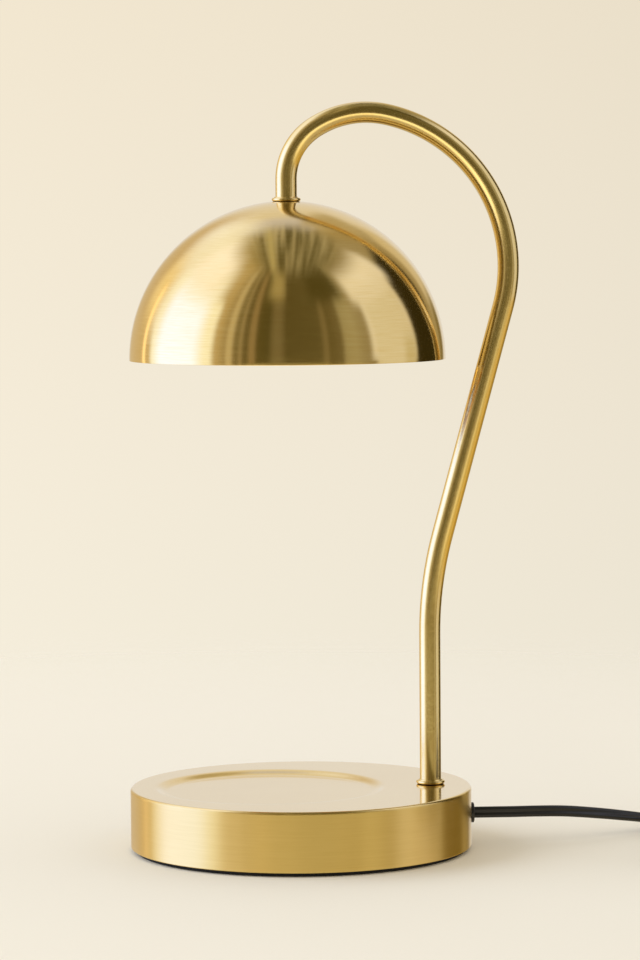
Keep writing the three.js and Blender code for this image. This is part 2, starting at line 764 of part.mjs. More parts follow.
// The dimmer in its own frame: long axis along X, standing on Z = 0
const dimmer = new THREE.Group();
dimmer.position.copy(dimmerPlace);
dimmer.rotation.z = -Math.PI / 2;
lamp.add(dimmer);

function roundedBox(length, width, corner, low, high, soften) {
  const shape = new THREE.Shape();
  const [x, y] = [length / 2 - soften, width / 2 - soften];
  const r = corner - soften;
  shape.moveTo(x, -y + r);
  shape.absarc(x - r, y - r, r, 0, Math.PI / 2, false);
  shape.absarc(-x + r, y - r, r, Math.PI / 2, Math.PI, false);
  shape.absarc(-x + r, -y + r, r, Math.PI, 3 * Math.PI / 2, false);
  shape.absarc(x - r, -y + r, r, 3 * Math.PI / 2, 2 * Math.PI, false);
  return new THREE.ExtrudeGeometry(shape, {
    depth: high - low - 2 * soften, bevelEnabled: soften > 0, bevelSize: soften, bevelThickness: soften,
    bevelSegments: 2, curveSegments: 4,
  }).translate(0, 0, low + soften);
}

const dimmerSoften = 3;
const partingGap = 0.15;
const dimmerScrewX = 23;
const dimmerBossRadius = 3;
const dimmerScrewRadius = 1.2;
const dimmerScrewHead = 2.2;
const dimmerScrewSink = 2.4;
const dimmerScrewHeadHeight = 1.3;
const dimmerScrewTipGap = 3;
const grommetNeck = 3.1;
const boardLift = 3;
const boardThickness = 1.6;
const boardLength = 38;
const boardWidth = 20;
const potSize = 13;
const potHeight = 5.4;
const shaftRadius = 3;
const shaftNeck = 2;
const boardBottom = dimmerWall + boardLift;
const boardTop = boardBottom + boardThickness;
const potTop = boardTop + potHeight;
const dialBottom = dimmerHeight - dimmerWall - seatGap;
const screwSides = [-1, 1];

function dimmerHollow() {
  return roundedBox(dimmerLength - 2 * dimmerWall, dimmerWidth - 2 * dimmerWall, dimmerCorner - dimmerWall,
    dimmerWall, dimmerHeight - dimmerWall, 0);
}

function dimmerHalf(low, high) {
  const middle = (low + high) / 2;
  const outside = roundedBox(dimmerLength, dimmerWidth, dimmerCorner, 0, dimmerHeight, dimmerSoften);
  const slice = block(dimmerLength + overrun, dimmerWidth + overrun, high - low, 0, 0, middle);
  return overlapOf(outside, slice);
}

function grommetHole() {
  return rod(grommetNeck + boreGap, -dimmerLength / 2 - overrun, dimmerLength / 2 + overrun)
    .rotateY(Math.PI / 2).translate(0, 0, dimmerParting);
}

function dimmerLowerShell() {
  const shell = cut(dimmerHalf(0, dimmerParting - partingGap), dimmerHollow());
  const bosses = screwSides.map((side) => rod(dimmerBossRadius, dimmerWall - partingGap, dimmerParting - partingGap)
    .translate(side * dimmerScrewX, 0, 0));
  const [px, py] = [boardLength / 2 - dimmerScrewRadius, boardWidth / 2 - dimmerScrewRadius];
  const posts = [[px, py], [-px, py], [-px, -py], [px, -py]].map(([x, y]) => rod(
    dimmerScrewRadius, dimmerWall - partingGap, boardBottom - partingGap, 8,
  ).translate(x, y, 0));
  const holes = screwSides.flatMap((side) => [
    rod(dimmerScrewRadius + boreGap, -overrun, dimmerParting + overrun),
    rod(dimmerScrewHead + boreGap, -overrun, dimmerScrewSink),
  ].map((hole) => hole.translate(side * dimmerScrewX, 0, 0)));
  return cut(join(shell, ...bosses, ...posts), ...holes, grommetHole());
}

function dimmerUpperShell() {
  const shell = cut(dimmerHalf(dimmerParting, dimmerHeight), dimmerHollow());
  const bosses = screwSides.map((side) => rod(dimmerBossRadius, dimmerParting, dimmerHeight - dimmerWall + partingGap)
    .translate(side * dimmerScrewX, 0, 0));
  const holes = screwSides.map((side) => rod(dimmerScrewRadius + boreGap, dimmerParting - overrun,
    dimmerHeight - dimmerWall - overrun).translate(side * dimmerScrewX, 0, 0));
  const dialHole = rod(dialRadius + 2 * boreGap, dimmerHeight - dimmerWall - overrun, dimmerHeight + overrun, medium);
  return cut(join(shell, ...bosses), ...holes, dialHole, grommetHole());
}

function dimmerScrew(side) {
  const shoulder = dimmerScrewSink - partingGap;
  const low = shoulder - dimmerScrewHeadHeight;
  const tip = dimmerHeight - dimmerWall - dimmerScrewTipGap;
  return turned([
    [0, low], [dimmerScrewHead, low], [dimmerScrewHead, shoulder], [dimmerScrewRadius, shoulder],
    [dimmerScrewRadius, tip], [0, tip],
  ], coarse).translate(side * dimmerScrewX, 0, 0);
}

// The dial: ribbed round its edge, with a notch on its face that shows where it points
const dialRibs = 20;
const ribDepth = 0.5;
const notchWidth = 1.2;
const notchDepth = 0.6;

function dimmerDial() {
  const outline = Array.from({ length: dialRibs * 4 }, (_, i) => {
    const radius = i % 4 < 2 ? dialRadius : dialRadius - ribDepth;
    const angle = 2 * Math.PI * i / (dialRibs * 4);
    return new THREE.Vector2(radius * Math.cos(angle), radius * Math.sin(angle));
  });
  const top = dimmerHeight + dialProud;
  const disc = new THREE.ExtrudeGeometry(new THREE.Shape(outline), {
    depth: top - dialBottom, bevelEnabled: false,
  }).translate(0, 0, dialBottom);
  const notch = block(dialRadius / 2, notchWidth, 2 * notchDepth, dialRadius / 2, 0, top);
  return cut(disc, notch);
}

function dimmerShaft() {
  return rod(shaftNeck, potTop + seatGap, dialBottom);
}

function dimmerPot() {
  return block(potSize, potSize, potHeight, 0, 0, (boardTop + potTop) / 2);
}

function dimmerBoard() {
  return block(boardLength, boardWidth, boardThickness, 0, 0, (boardBottom + boardTop) / 2);
}

const triacLength = 10;
const triacDepth = 4.5;
const triacHeight = 7;

function dimmerTriac() {
  return block(triacDepth, triacLength, triacHeight, potSize, 0, boardTop + triacHeight / 2);
}

const grommetRootShare = 1.55;
const grommetTipShare = 1.2;
const grommetFlatShare = 0.75;
const grommetNeckLength = 3;

function grommet(side) {
  const face = dimmerLength / 2;
  const rootY = cordWidth / 2 * grommetRootShare;
  const tipY = cordWidth / 2 * grommetTipShare;
  const end = face + seatGap + grommetLength;
  return turned([
    [0, face - grommetNeckLength], [grommetNeck, face - grommetNeckLength], [grommetNeck, face + seatGap],
    [rootY, face + seatGap], [tipY, end], [0, end],
  ], coarse).rotateY(side * Math.PI / 2).scale(1, 1, grommetFlatShare).translate(0, 0, dimmerParting);
}

addPiece('dimmer_lower_shell', dimmerLowerShell(), blackPlastic, dimmer);
addPiece('dimmer_upper_shell', dimmerUpperShell(), blackPlastic, dimmer);
addPiece('dimmer_board', dimmerBoard(), boardGreen, dimmer);
addPiece('dimmer_pot', dimmerPot(), steel, dimmer);
addPiece('dimmer_triac', dimmerTriac(), blackPlastic, dimmer);
addPiece('dimmer_shaft', dimmerShaft(), steel, dimmer);
addPiece('dimmer_dial', dimmerDial(), blackPlastic, dimmer);
screwSides.forEach((side, i) => addPiece(`dimmer_screw_${i + 1}`, dimmerScrew(side), steel, dimmer));
screwSides.forEach((side, i) => addPiece(`dimmer_grommet_${i + 1}`, grommet(side), blackPlastic, dimmer));

// The plug in its own frame: blades towards +X from its face at X = 0, lying on Z = 0
const plug = new THREE.Group();
plug.position.copy(plugPlace);
plug.rotation.z = Math.PI;
lamp.add(plug);
const bladeRoot = 8;
const plugWaistShare = 0.62;
const plugTailShare = 0.38;
const plugShoulderShare = 1 / 3;

function plugBody() {
  const soften = 2.5;
  const w = plugWidth / 2 - soften;
  const shoulder = -plugLength * plugShoulderShare;
  const outline = [
    [-soften, -w], [-soften, w], [shoulder, w],
    [-plugLength + soften, w * plugWaistShare], [-plugLength + soften, -w * plugWaistShare], [shoulder, -w],
  ].reverse();
  const shape = new THREE.Shape(outline.map(([x, y]) => new THREE.Vector2(x, y)));
  const grip = new THREE.ExtrudeGeometry(shape, {
    depth: plugThickness - 2 * soften, bevelEnabled: true, bevelSize: soften, bevelThickness: soften,
    bevelSegments: 2,
  }).translate(0, 0, soften);
  const neck = turned([
    [0, plugLength - soften], [plugThickness * plugTailShare, plugLength - soften],
    [cordWidth / 2 * grommetTipShare, plugLength + plugNeckLength], [0, plugLength + plugNeckLength],
  ], coarse).rotateY(-Math.PI / 2).translate(0, 0, plugThickness / 2);
  const pockets = screwSides.map((side) => block(2 * bladeRoot + 2 * boreGap, bladeThickness + 2 * boreGap,
    bladeWidth + 2 * boreGap, 0, side * bladeSpacing / 2, plugThickness / 2));
  return cut(join(grip, neck), ...pockets);
}

function plugBlade(side) {
  const nose = 1.2;
  const half = bladeWidth / 2;
  const outline = [
    [-bladeRoot, -half], [bladeLength - nose, -half], [bladeLength, -half + nose],
    [bladeLength, half - nose], [bladeLength - nose, half], [-bladeRoot, half],
  ];
  const shape = new THREE.Shape(outline.map(([x, y]) => new THREE.Vector2(x, y)));
  return new THREE.ExtrudeGeometry(shape, { depth: bladeThickness, bevelEnabled: false })
    .translate(0, 0, -bladeThickness / 2).rotateX(Math.PI / 2)
    .translate(0, side * bladeSpacing / 2, plugThickness / 2);
}

addPiece('plug_body', plugBody(), blackPlastic, plug);
screwSides.forEach((side, i) => addPiece(`plug_blade_${i + 1}`, plugBlade(side), steel, plug));

// The free cord: from the bushing over the table to the dimmer, then to the coil, then to the plug
const grommetReach = dimmerLength / 2 + seatGap + grommetLength + seatGap;
const lampRunRoute = [
  [baseRadius + bushingFlange + seatGap, 0, cordHeight], [87, 0, cordHeight], [100, 1.7, 15.1], [112, 4.6, 14.7],
  [126, 9.4, 13.7], [144, 17.7, 11], [160, 26.6, 7.9], [176, 36, 4.6], [194, 46, 2.4], [214, 54, 1.7],
  [236, 58, 1.7], [256, 56, 1.8], [274, 48, 2.8], [286, 36, 5.2], [291, 27, 7.2],
  [dimmerPlace.x, 21, dimmerParting], [dimmerPlace.x, dimmerPlace.y + grommetReach, dimmerParting],
];
const lampRunEdges = [90, 90, 80, 60, 38, 10, 0, 0, 0, 0, 0];

addPiece('cord_lamp_run', flatCord(lampRunRoute, lampRunEdges, 8), cordJacket);

// The coil: turns on edge that spiral in on the table, climb, and spiral out again on top
const coilPlace = new THREE.Vector3(203, -62, 0);
const coilRadius = 29;
const coilTurns = 6.5;
const coilPitch = 3.3;
const coilLayerGap = 0.6;
const coilDip = 1.7;
const coilStepsPerTurn = 24;
const tieThickness = 0.5;
const coilLow = tieThickness + seatGap + cordWidth / 2;
const coilHigh = coilLow + cordWidth + coilLayerGap;
const coilStart = -Math.PI / 2;

function coilStations() {
  const steps = coilTurns * coilStepsPerTurn;
  const outer = coilRadius + coilPitch * coilTurns / 4;
  return Array.from({ length: steps + 1 }, (_, i) => {
    const turns = i / coilStepsPerTurn;
    const inward = coilTurns / 2;
    const away = Math.abs(turns - inward);
    const dip = coilDip * (1 - THREE.MathUtils.smoothstep(away, 1 / 4, 1 / 2));
    const radius = outer - coilPitch * (inward - away) - dip;
    const climb = THREE.MathUtils.smoothstep(turns, inward - 1 / 4, inward + 1 / 4);
    const angle = coilStart - 2 * Math.PI * turns;
    return new THREE.Vector3(
      coilPlace.x + radius * Math.cos(angle), coilPlace.y + radius * Math.sin(angle),
      coilLow + (coilHigh - coilLow) * climb,
    );
  });
}

// Straight ends, one cord width long, along the first and the last step of the turns
function withStraightEnds(stations) {
  const n = stations.length;
  const before = stations[0].clone().sub(stations[1]).setLength(cordWidth).add(stations[0]);
  const after = stations[n - 1].clone().sub(stations[n - 2]).setLength(cordWidth).add(stations[n - 1]);
  return [before, ...stations, after];
}

const coilLine = withStraightEnds(coilStations());

// Least distance between turns that aren't neighbours along the cord, less the cord's own thickness there
function leastGap(stations) {
  let least = Infinity;
  for (let i = 0; i < stations.length; i += 1) {
    for (let j = i + coilStepsPerTurn / 2; j < stations.length; j += 1) {
      const apart = stations[i].clone().sub(stations[j]);
      const flat = Math.hypot(apart.x, apart.y) - cordThickness;
      const tall = Math.abs(apart.z) - cordWidth;
      least = Math.min(least, Math.max(flat, tall));
    }
  }
  return least;
}
console.log(`least gap between the coil's turns: ${leastGap(coilLine).toFixed(2)} mm`);

const upright = coilLine.map(() => new THREE.Vector3(0, 0, 1));
addPiece('cord_coil', swept(coilLine, upright, cordShape(6)), cordJacket);

// Where the two runs meet the ends of the coil, with a straight piece in line with each end
const lineUp = 9;
const [coilEntry, coilSecond] = coilLine;
const [coilLast, coilExit] = coilLine.slice(-2);
const entryHeading = coilEntry.clone().sub(coilSecond).normalize();
const exitHeading = coilExit.clone().sub(coilLast).normalize();
const beyond = (end, heading, distance) => end.clone().addScaledVector(heading, distance).toArray();

const coilRunRoute = [
  [dimmerPlace.x, dimmerPlace.y - grommetReach, dimmerParting], [dimmerPlace.x, -89, dimmerParting],
  [289.5, -100, 5.6], [282, -109, 3.6], [269, -114, 3.3],
  [252, -113, 3.4], [235, -107.5, 3.45],
  beyond(coilEntry, entryHeading, lineUp), beyond(coilEntry, entryHeading, seatGap),
];
const plugRunRoute = [
  beyond(coilExit, exitHeading, seatGap), beyond(coilExit, exitHeading, lineUp),
  [232, -23.5, 7.2], [244, -16, 5], [250.5, -5, 4.2], [249, 7, 4.8], [242, 15, 6.2], [237, 18, 7],
  [plugPlace.x + plugLength + plugNeckLength + seatGap, plugPlace.y, plugThickness / 2],
];
addPiece('cord_coil_run', flatCord(coilRunRoute, [0, 0, 30, 60, 90, 90], 8), cordJacket);
addPiece('cord_plug_run', flatCord(plugRunRoute, [90, 90, 60, 0, 0], 8), cordJacket);

// The strap that ties the coil
const tieWidth = 8;
const tieAngle = THREE.MathUtils.degToRad(20);

function coilTie() {
  const near = coilStations().filter((p) => {
    const angle = Math.atan2(p.y - coilPlace.y, p.x - coilPlace.x);
    return Math.abs(angle - tieAngle) < 2 * Math.PI / coilStepsPerTurn;
  }).map((p) => Math.hypot(p.x - coilPlace.x, p.y - coilPlace.y));
  const [inner, outer] = [Math.min(...near) - cordThickness / 2, Math.max(...near) + cordThickness / 2];
  const play = seatGap + boreGap;
  const top = coilHigh + cordWidth / 2 + play;
  const [low, high] = [inner - play, outer + play];
  const strap = block(high - low + 2 * tieThickness, tieWidth, top + tieThickness,
    (low + high) / 2, 0, (top + tieThickness) / 2);
  const hollow = block(high - low, tieWidth + 2 * overrun, top - tieThickness, (low + high) / 2, 0,
    (top + tieThickness) / 2);
  return cut(strap, hollow).rotateZ(tieAngle).translate(coilPlace.x, coilPlace.y, 0);
}

addPiece('coil_tie', coilTie(), blackFoam);

export default lamp;
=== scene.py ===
import math

import bmesh
import bpy
import numpy as np
from mathutils import Matrix, Vector


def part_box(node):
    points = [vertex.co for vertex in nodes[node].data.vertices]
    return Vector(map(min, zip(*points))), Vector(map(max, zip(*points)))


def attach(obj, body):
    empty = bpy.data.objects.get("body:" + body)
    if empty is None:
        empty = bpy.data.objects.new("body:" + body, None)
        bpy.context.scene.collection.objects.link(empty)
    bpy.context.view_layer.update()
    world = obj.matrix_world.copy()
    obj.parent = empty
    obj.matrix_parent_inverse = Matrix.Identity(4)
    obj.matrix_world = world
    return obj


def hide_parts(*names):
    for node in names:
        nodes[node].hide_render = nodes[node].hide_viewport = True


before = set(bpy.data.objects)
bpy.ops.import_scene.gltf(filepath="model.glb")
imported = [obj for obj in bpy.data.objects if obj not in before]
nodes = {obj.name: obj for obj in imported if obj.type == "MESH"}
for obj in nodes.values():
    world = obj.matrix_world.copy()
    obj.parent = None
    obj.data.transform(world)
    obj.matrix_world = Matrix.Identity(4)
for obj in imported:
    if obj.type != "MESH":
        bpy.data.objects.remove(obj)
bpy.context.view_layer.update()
mm = 0.001
print("stage: packed model loaded,", len(nodes), "nodes")

scene = bpy.context.scene
scene.view_settings.view_transform = "Standard"

# The camera of the photograph, in a frame that is turned a little about Z from the lamp's own
cameraView = {
    "focalPixels": 3750,
    "imageHeight": 960,
    "sensor": 36,
    "place": (0.010, -1.748, 0.2958),
    "pitchDown": 0.0699,
    "roll": -0.0072,
    "lampTurn": math.radians(4),
    "near": 0.05,
    "far": 60,
}


def aimCamera(view):
    turn = Matrix.Rotation(-view["lampTurn"], 3, "Z")
    right = turn @ Vector((1, 0, 0))
    pitch = view["pitchDown"]
    forward = turn @ Vector((0, math.cos(pitch), -math.sin(pitch)))
    up = right.cross(forward)
    cosRoll, sinRoll = math.cos(view["roll"]), math.sin(view["roll"])
    rolledRight = right * cosRoll + up * sinRoll
    rolledUp = up * cosRoll - right * sinRoll
    data = bpy.data.cameras.new("photoCamera")
    data.sensor_width = view["sensor"]
    data.lens = view["focalPixels"] / view["imageHeight"] * data.sensor_width
    data.clip_start, data.clip_end = view["near"], view["far"]
    camera = bpy.data.objects.new("photoCamera", data)
    scene.collection.objects.link(camera)
    axes = Matrix((rolledRight, rolledUp, -forward)).transposed()
    camera.matrix_world = Matrix.Translation(turn @ Vector(view["place"])) @ axes.to_4x4()
    scene.camera = camera


aimCamera(cameraView)
print("stage: camera placed")


# Mesh tools
def makeObject(name, points, faces, sharpAngle=35):
    mesh = bpy.data.meshes.new(name)
    mesh.from_pydata([tuple(p) for p in points], [], faces)
    shape = bmesh.new()
    shape.from_mesh(mesh)
    bmesh.ops.recalc_face_normals(shape, faces=shape.faces)
    for edge in shape.edges:
        if len(edge.link_faces) == 2:
            edge.smooth = edge.calc_face_angle(0) < math.radians(sharpAngle)
    for face in shape.faces:
        face.smooth = True
    shape.to_mesh(mesh)
    shape.free()
    made = bpy.data.objects.new(name, mesh)
    scene.collection.objects.link(made)
    return made


def fullTurn(count):
    return np.linspace(0, 2 * math.pi, count, endpoint=False)


def levelRing(x, y, z):
    return np.column_stack([x, y, np.full(len(x), z)])


def roundRing(angles, radius, z, x=0, y=0):
    return levelRing(x + radius * np.cos(angles), y + radius * np.sin(angles), z)


def unitRows(rows):
    return rows / np.linalg.norm(rows, axis=1)[:, None]


def ringFaces(ringCount, perRing, closed):
    faces = []
    last = ringCount if closed else ringCount - 1
    for i in range(last):
        a, b = i * perRing, (i + 1) % ringCount * perRing
        faces += [(a + j, a + (j + 1) % perRing, b + (j + 1) % perRing, b + j) for j in range(perRing)]
    return faces


def stackRings(name, rings, capStart=True, closed=False, sharpAngle=35):
    # Rings of equal length joined one to the next, each end closed by a fan round its middle
    perRing = len(rings[0])
    points = [p for ring in rings for p in ring]
    faces = ringFaces(len(rings), perRing, closed)
    for wanted, start, flip in ((capStart, 0, True), (True, (len(rings) - 1) * perRing, False)):
        if not wanted or closed:
            continue
        middle = len(points)
        points.append(np.mean(np.array(points[start:start + perRing]), axis=0))
        for j in range(perRing):
            a, b = start + j, start + (j + 1) % perRing
            faces.append((b, a, middle) if flip else (a, b, middle))
    return makeObject(name, points, faces, sharpAngle)


def filletLine(corners, steps=5):
    # A polyline of (x, y, radius) corners: every radius drawn as an arc, with a point a little beyond
    # either end of it that keeps the flats beside it shading flat
    line = []
    beyondArc = 1.15
    for i, (x, y, radius) in enumerate(corners):
        here = np.array((x, y))
        if radius == 0 or i in (0, len(corners) - 1):
            line.append(here)
            continue
        before = np.array(corners[i - 1][:2]) - here
        after = np.array(corners[i + 1][:2]) - here
        before, after = before / np.linalg.norm(before), after / np.linalg.norm(after)
        half = math.acos(np.clip(before @ after, -1, 1)) / 2
        reach = radius / math.tan(half)
        middle = here + (before + after) / np.linalg.norm(before + after) * radius / math.sin(half)
        first, last = here + before * reach - middle, here + after * reach - middle
        angle = math.atan2(first[0] * last[1] - first[1] * last[0], first @ last)
        line.append(here + before * reach * beyondArc)
        for k in range(steps + 1):
            c, s = math.cos(angle * k / steps), math.sin(angle * k / steps)
            line.append(middle + np.array((c * first[0] - s * first[1], s * first[0] + c * first[1])))
        line.append(here + after * reach * beyondArc)
    return line


def turnedPiece(name, profile, place, segments, axis="Z", closed=True, sharpAngle=35, squash=(1, 1)):
    # A profile of (radius, height) in millimetres turned about an axis through place
    angles = fullTurn(segments)
    order = {"X": [2, 0, 1], "Y": [0, 2, 1], "Z": [0, 1, 2]}[axis]
    rings = []
    for radius, height in profile:
        radius = max(radius, 1e-4)
        ring = levelRing(radius * squash[0] * np.cos(angles), radius * squash[1] * np.sin(angles), height)
        rings.append((ring[:, order] + np.array(place)) * mm)
    return stackRings(name, rings, closed=closed, sharpAngle=sharpAngle)


def tubePiece(name, stations, wides, section, sharpAngle=35):
    # A section of (along wide, along thick) points in millimetres carried along stations
    stations, wides = np.array(stations), np.array(wides)
    ahead = unitRows(np.gradient(stations, axis=0))
    wides = unitRows(wides - ahead * np.sum(wides * ahead, axis=1)[:, None])
    thicks = np.cross(ahead, wides)
    rings = [(station + section[:, :1] * wide + section[:, 1:] * thick) * mm
             for station, wide, thick in zip(stations, wides, thicks)]
    return stackRings(name, rings, sharpAngle=sharpAngle)


def circleSection(radius, sides):
    angles = fullTurn(sides)
    return np.stack([radius * np.cos(angles), radius * np.sin(angles)], 1)


def roundedSection(width, height, corner, perCorner):
    corner = min(corner, width / 2 - 1e-3, height / 2 - 1e-3)
    points = []
    for quarter, (sx, sy) in enumerate(((1, 1), (-1, 1), (-1, -1), (1, -1))):
        for k in range(perCorner + 1):
            angle = math.pi / 2 * (quarter + k / perCorner)
            points.append((sx * (width / 2 - corner) + corner * math.cos(angle),
                           sy * (height / 2 - corner) + corner * math.sin(angle)))
    return np.array(points)


def throughPoints(points, step):
    # A centripetal spline through points, straight in its first and last span
    points = np.array(points, float)
    ghost = np.vstack([2 * points[0] - points[1], points, 2 * points[-1] - points[-2]])
    line = [points[0]]
    for i in range(1, len(points) - 2):
        p0, p1, p2, p3 = ghost[i:i + 4]
        d0, d1, d2 = (math.sqrt(np.linalg.norm(b - a)) for a, b in ((p0, p1), (p1, p2), (p2, p3)))
        t1 = ((p1 - p0) / d0 - (p2 - p0) / (d0 + d1) + (p2 - p1) / d1) * d1
        t2 = ((p2 - p1) / d1 - (p3 - p1) / (d1 + d2) + (p3 - p2) / d2) * d1
        second = -3 * p1 + 3 * p2 - 2 * t1 - t2
        third = 2 * p1 - 2 * p2 + t1 + t2
        count = max(2, round(np.linalg.norm(p2 - p1) / step))
        for k in range(count):
            t = k / count
            line.append(p1 + t1 * t + second * t ** 2 + third * t ** 3)
    line += [points[-2], points[-1]]
    return np.array(line)


def lengthOf(line):
    return float(np.linalg.norm(np.diff(line, axis=0), axis=1).sum())


def cordWides(line, edgeAngles):
    # The flat cord lies flat at 0 and stands on edge at 90 degrees
    ahead = unitRows(np.gradient(line, axis=0))
    side = unitRows(np.cross((0, 0, 1), ahead))
    up = np.cross(ahead, side)
    travelled = np.concatenate([[0], np.cumsum(np.linalg.norm(np.diff(line, axis=0), axis=1))])
    angle = np.radians(np.interp(travelled / travelled[-1], np.linspace(0, 1, len(edgeAngles)), edgeAngles))
    return side * np.cos(angle)[:, None] + up * np.sin(angle)[:, None]


# The free cord: its route repeats the model's own points, in millimetres
cord = {
    "width": 5.3, "thickness": 2.7, "groove": 0.42, "grooveShare": 0.55, "outletHeight": 15.4, "outletX": 81.9,
    "dimmerPlace": (292, -34), "dimmerParting": 8, "grommetReach": 49.6,
    "plugPlace": (186, 18), "plugReach": 47.3, "plugHeight": 7,
    "lampRunLength": 0.247, "plugRunLength": 1.38, "step": 2, "sharpAngle": 60,
}
coil = {
    "place": (203, -62), "radius": 29, "turns": 6.5, "pitch": 3.3, "dip": 1.7, "low": 3.45, "high": 9.35,
    "stepsPerTurn": 72, "start": -math.pi / 2, "lineUp": 9,
}


def twinSection():
    # Two round conductors side by side with a shallow groove between them
    radius = cord["thickness"] / 2
    out = cord["width"] / 2 - radius
    dip = radius - cord["groove"]
    meet = math.acos(min(1, out / radius * cord["grooveShare"]))
    lobe = [(out + radius * math.cos(a), radius * math.sin(a)) for a in np.linspace(0, math.pi - meet, 9)]
    upper = lobe + [(0, dip)] + [(-x, y) for x, y in reversed(lobe)]
    return np.array(upper + [(x, -y) for x, y in reversed(upper[1:-1])])


def smoothStep(x, low, high):
    t = np.clip((x - low) / (high - low), 0, 1)
    return t * t * (3 - 2 * t)


def coilLine():
    half = coil["turns"] / 2
    turns = np.linspace(0, coil["turns"], int(coil["turns"] * coil["stepsPerTurn"]) + 1)
    away = np.abs(turns - half)
    radius = coil["radius"] + coil["pitch"] * (coil["turns"] / 4 - half + away)
    radius -= coil["dip"] * (1 - smoothStep(away, 0.25, 0.5))
    climb = smoothStep(turns, half - 0.25, half + 0.25)
    angle = coil["start"] - 2 * math.pi * turns
    return np.column_stack([
        coil["place"][0] + radius * np.cos(angle), coil["place"][1] + radius * np.sin(angle),
        coil["low"] + (coil["high"] - coil["low"]) * climb,
    ])


def beyond(end, inner, distance):
    # The point that far past the end of a line, straight on from the point before it
    heading = (end - inner) / np.linalg.norm(end - inner)
    return end + heading * distance


dimmerX, dimmerY = cord["dimmerPlace"]
plugX, plugY = cord["plugPlace"]
parting, reach = cord["dimmerParting"], cord["grommetReach"]
lampRunRoute = [
    (cord["outletX"], 0, cord["outletHeight"]), (87, 0, cord["outletHeight"]), (100, 1.7, 15.1),
    (112, 4.6, 14.7), (126, 9.4, 13.7), (144, 17.7, 11), (160, 26.6, 7.9), (176, 36, 4.6), (194, 46, 2.4),
    (214, 54, 1.7), (236, 58, 1.7), (256, 56, 1.8), (274, 48, 2.8), (286, 36, 5.2), (291, 27, 7.2),
    (dimmerX, 21, parting), (dimmerX, dimmerY + reach, parting),
]
# How far the cord is turned up on its edge, in even steps along each run
lampRunEdges = [90, 90, 80, 60, 38, 10, 0, 0, 0, 0, 0]
coilRunEdges = [0, 0, 30, 60, 90, 90]
plugRunEdges = [90, 90, 60, 0, 0]
turnsLine = coilLine()
coilStart, coilEnd = turnsLine[0], turnsLine[-1]
coilRunRoute = [
    (dimmerX, dimmerY - reach, parting), (dimmerX, -89, parting), (289.5, -100, 5.6), (282, -109, 3.6),
    (269, -114, 3.3), (252, -113, 3.4), (235, -107.5, 3.45),
    *(beyond(coilStart, turnsLine[1], cord["width"] + past) for past in (coil["lineUp"], 0)),
]
plugRunRoute = [
    *(beyond(coilEnd, turnsLine[-2], cord["width"] + past) for past in (0, coil["lineUp"])),
    (232, -23.5, 7.2), (244, -16, 5), (250.5, -5, 4.2), (249, 7, 4.8), (242, 15, 6.2), (237, 18, 7),
    (plugX + cord["plugReach"], plugY, cord["plugHeight"]),
]
lampRun, coilRun, plugRun = (throughPoints(route, cord["step"])
                             for route in (lampRunRoute, coilRunRoute, plugRunRoute))
plugLine = np.vstack([coilRun[:-1], turnsLine, plugRun[1:]])
plugWides = np.vstack([
    cordWides(coilRun, coilRunEdges)[:-1], np.tile((0.0, 0.0, 1.0), (len(turnsLine), 1)),
    cordWides(plugRun, plugRunEdges)[1:],
])
lampCord = tubePiece("lampCord", lampRun, cordWides(lampRun, lampRunEdges), twinSection(), cord["sharpAngle"])
plugCord = tubePiece("plugCord", plugLine, plugWides, twinSection(), cord["sharpAngle"])
for piece in (lampCord, plugCord):
    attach(piece, "lamp")
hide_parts("cord_lamp_run")
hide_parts("cord_coil_run", "cord_coil", "cord_plug_run")
print(f"stage: cords laid, {lengthOf(lampRun):.0f} mm to the dimmer, {lengthOf(plugLine):.0f} mm to the plug")


# Materials
sockets = {
    "color": "Base Color", "metallic": "Metallic", "roughness": "Roughness", "specular": "Specular IOR Level",
    "aniso": "Anisotropic", "anisoTurn": "Anisotropic Rotation", "coat": "Coat Weight",
    "coatRoughness": "Coat Roughness", "sheen": "Sheen Weight", "ior": "IOR",
    "transmission": "Transmission Weight",
}


def startMaterial(name, **values):
    material = bpy.data.materials.new(name)
    material.use_nodes = True
    tree = material.node_tree
    shader = tree.nodes["Principled BSDF"]
    for key, value in values.items():
        shader.inputs[sockets[key]].default_value = (*value, 1) if key == "color" else value
    return material, tree, shader


def addNode(tree, kind, inputs=None, **settings):
    node = tree.nodes.new("ShaderNode" + kind)
    for key, value in settings.items():
        setattr(node, key, value)
    for key, value in (inputs or {}).items():
        if isinstance(value, bpy.types.NodeSocket):
            tree.links.new(value, node.inputs[key])
        else:
            node.inputs[key].default_value = value
    return node


def rampNode(tree, factor, stops):
    node = addNode(tree, "ValToRGB", {0: factor})
    ramp = node.color_ramp
    while len(ramp.elements) < len(stops):
        ramp.elements.new(0.5)
    for element, (position, color) in zip(ramp.elements, sorted(stops, key=lambda s: s[0])):
        element.position = position
        element.color = (*color, 1)
    return node.outputs[0]


def mathNode(tree, operation, a, b=0.0):
    return addNode(tree, "Math", {0: a, 1: b}, operation=operation).outputs[0]


def multiply(tree, a, b):
    return mathNode(tree, "MULTIPLY", a, b)


def blendValues(tree, a, b, share):
    # That share of a, and the rest of b
    return mathNode(tree, "ADD", multiply(tree, a, share), multiply(tree, b, 1 - share))


def distanceNode(tree, x, y):
    squares = [multiply(tree, value, value) for value in (x, y)]
    return mathNode(tree, "SQRT", mathNode(tree, "ADD", *squares))


def mapRange(tree, value, fromLow, fromHigh, toLow, toHigh, **settings):
    return addNode(tree, "MapRange", {
        0: value, 1: fromLow, 2: fromHigh, 3: toLow, 4: toHigh}, **settings).outputs[0]


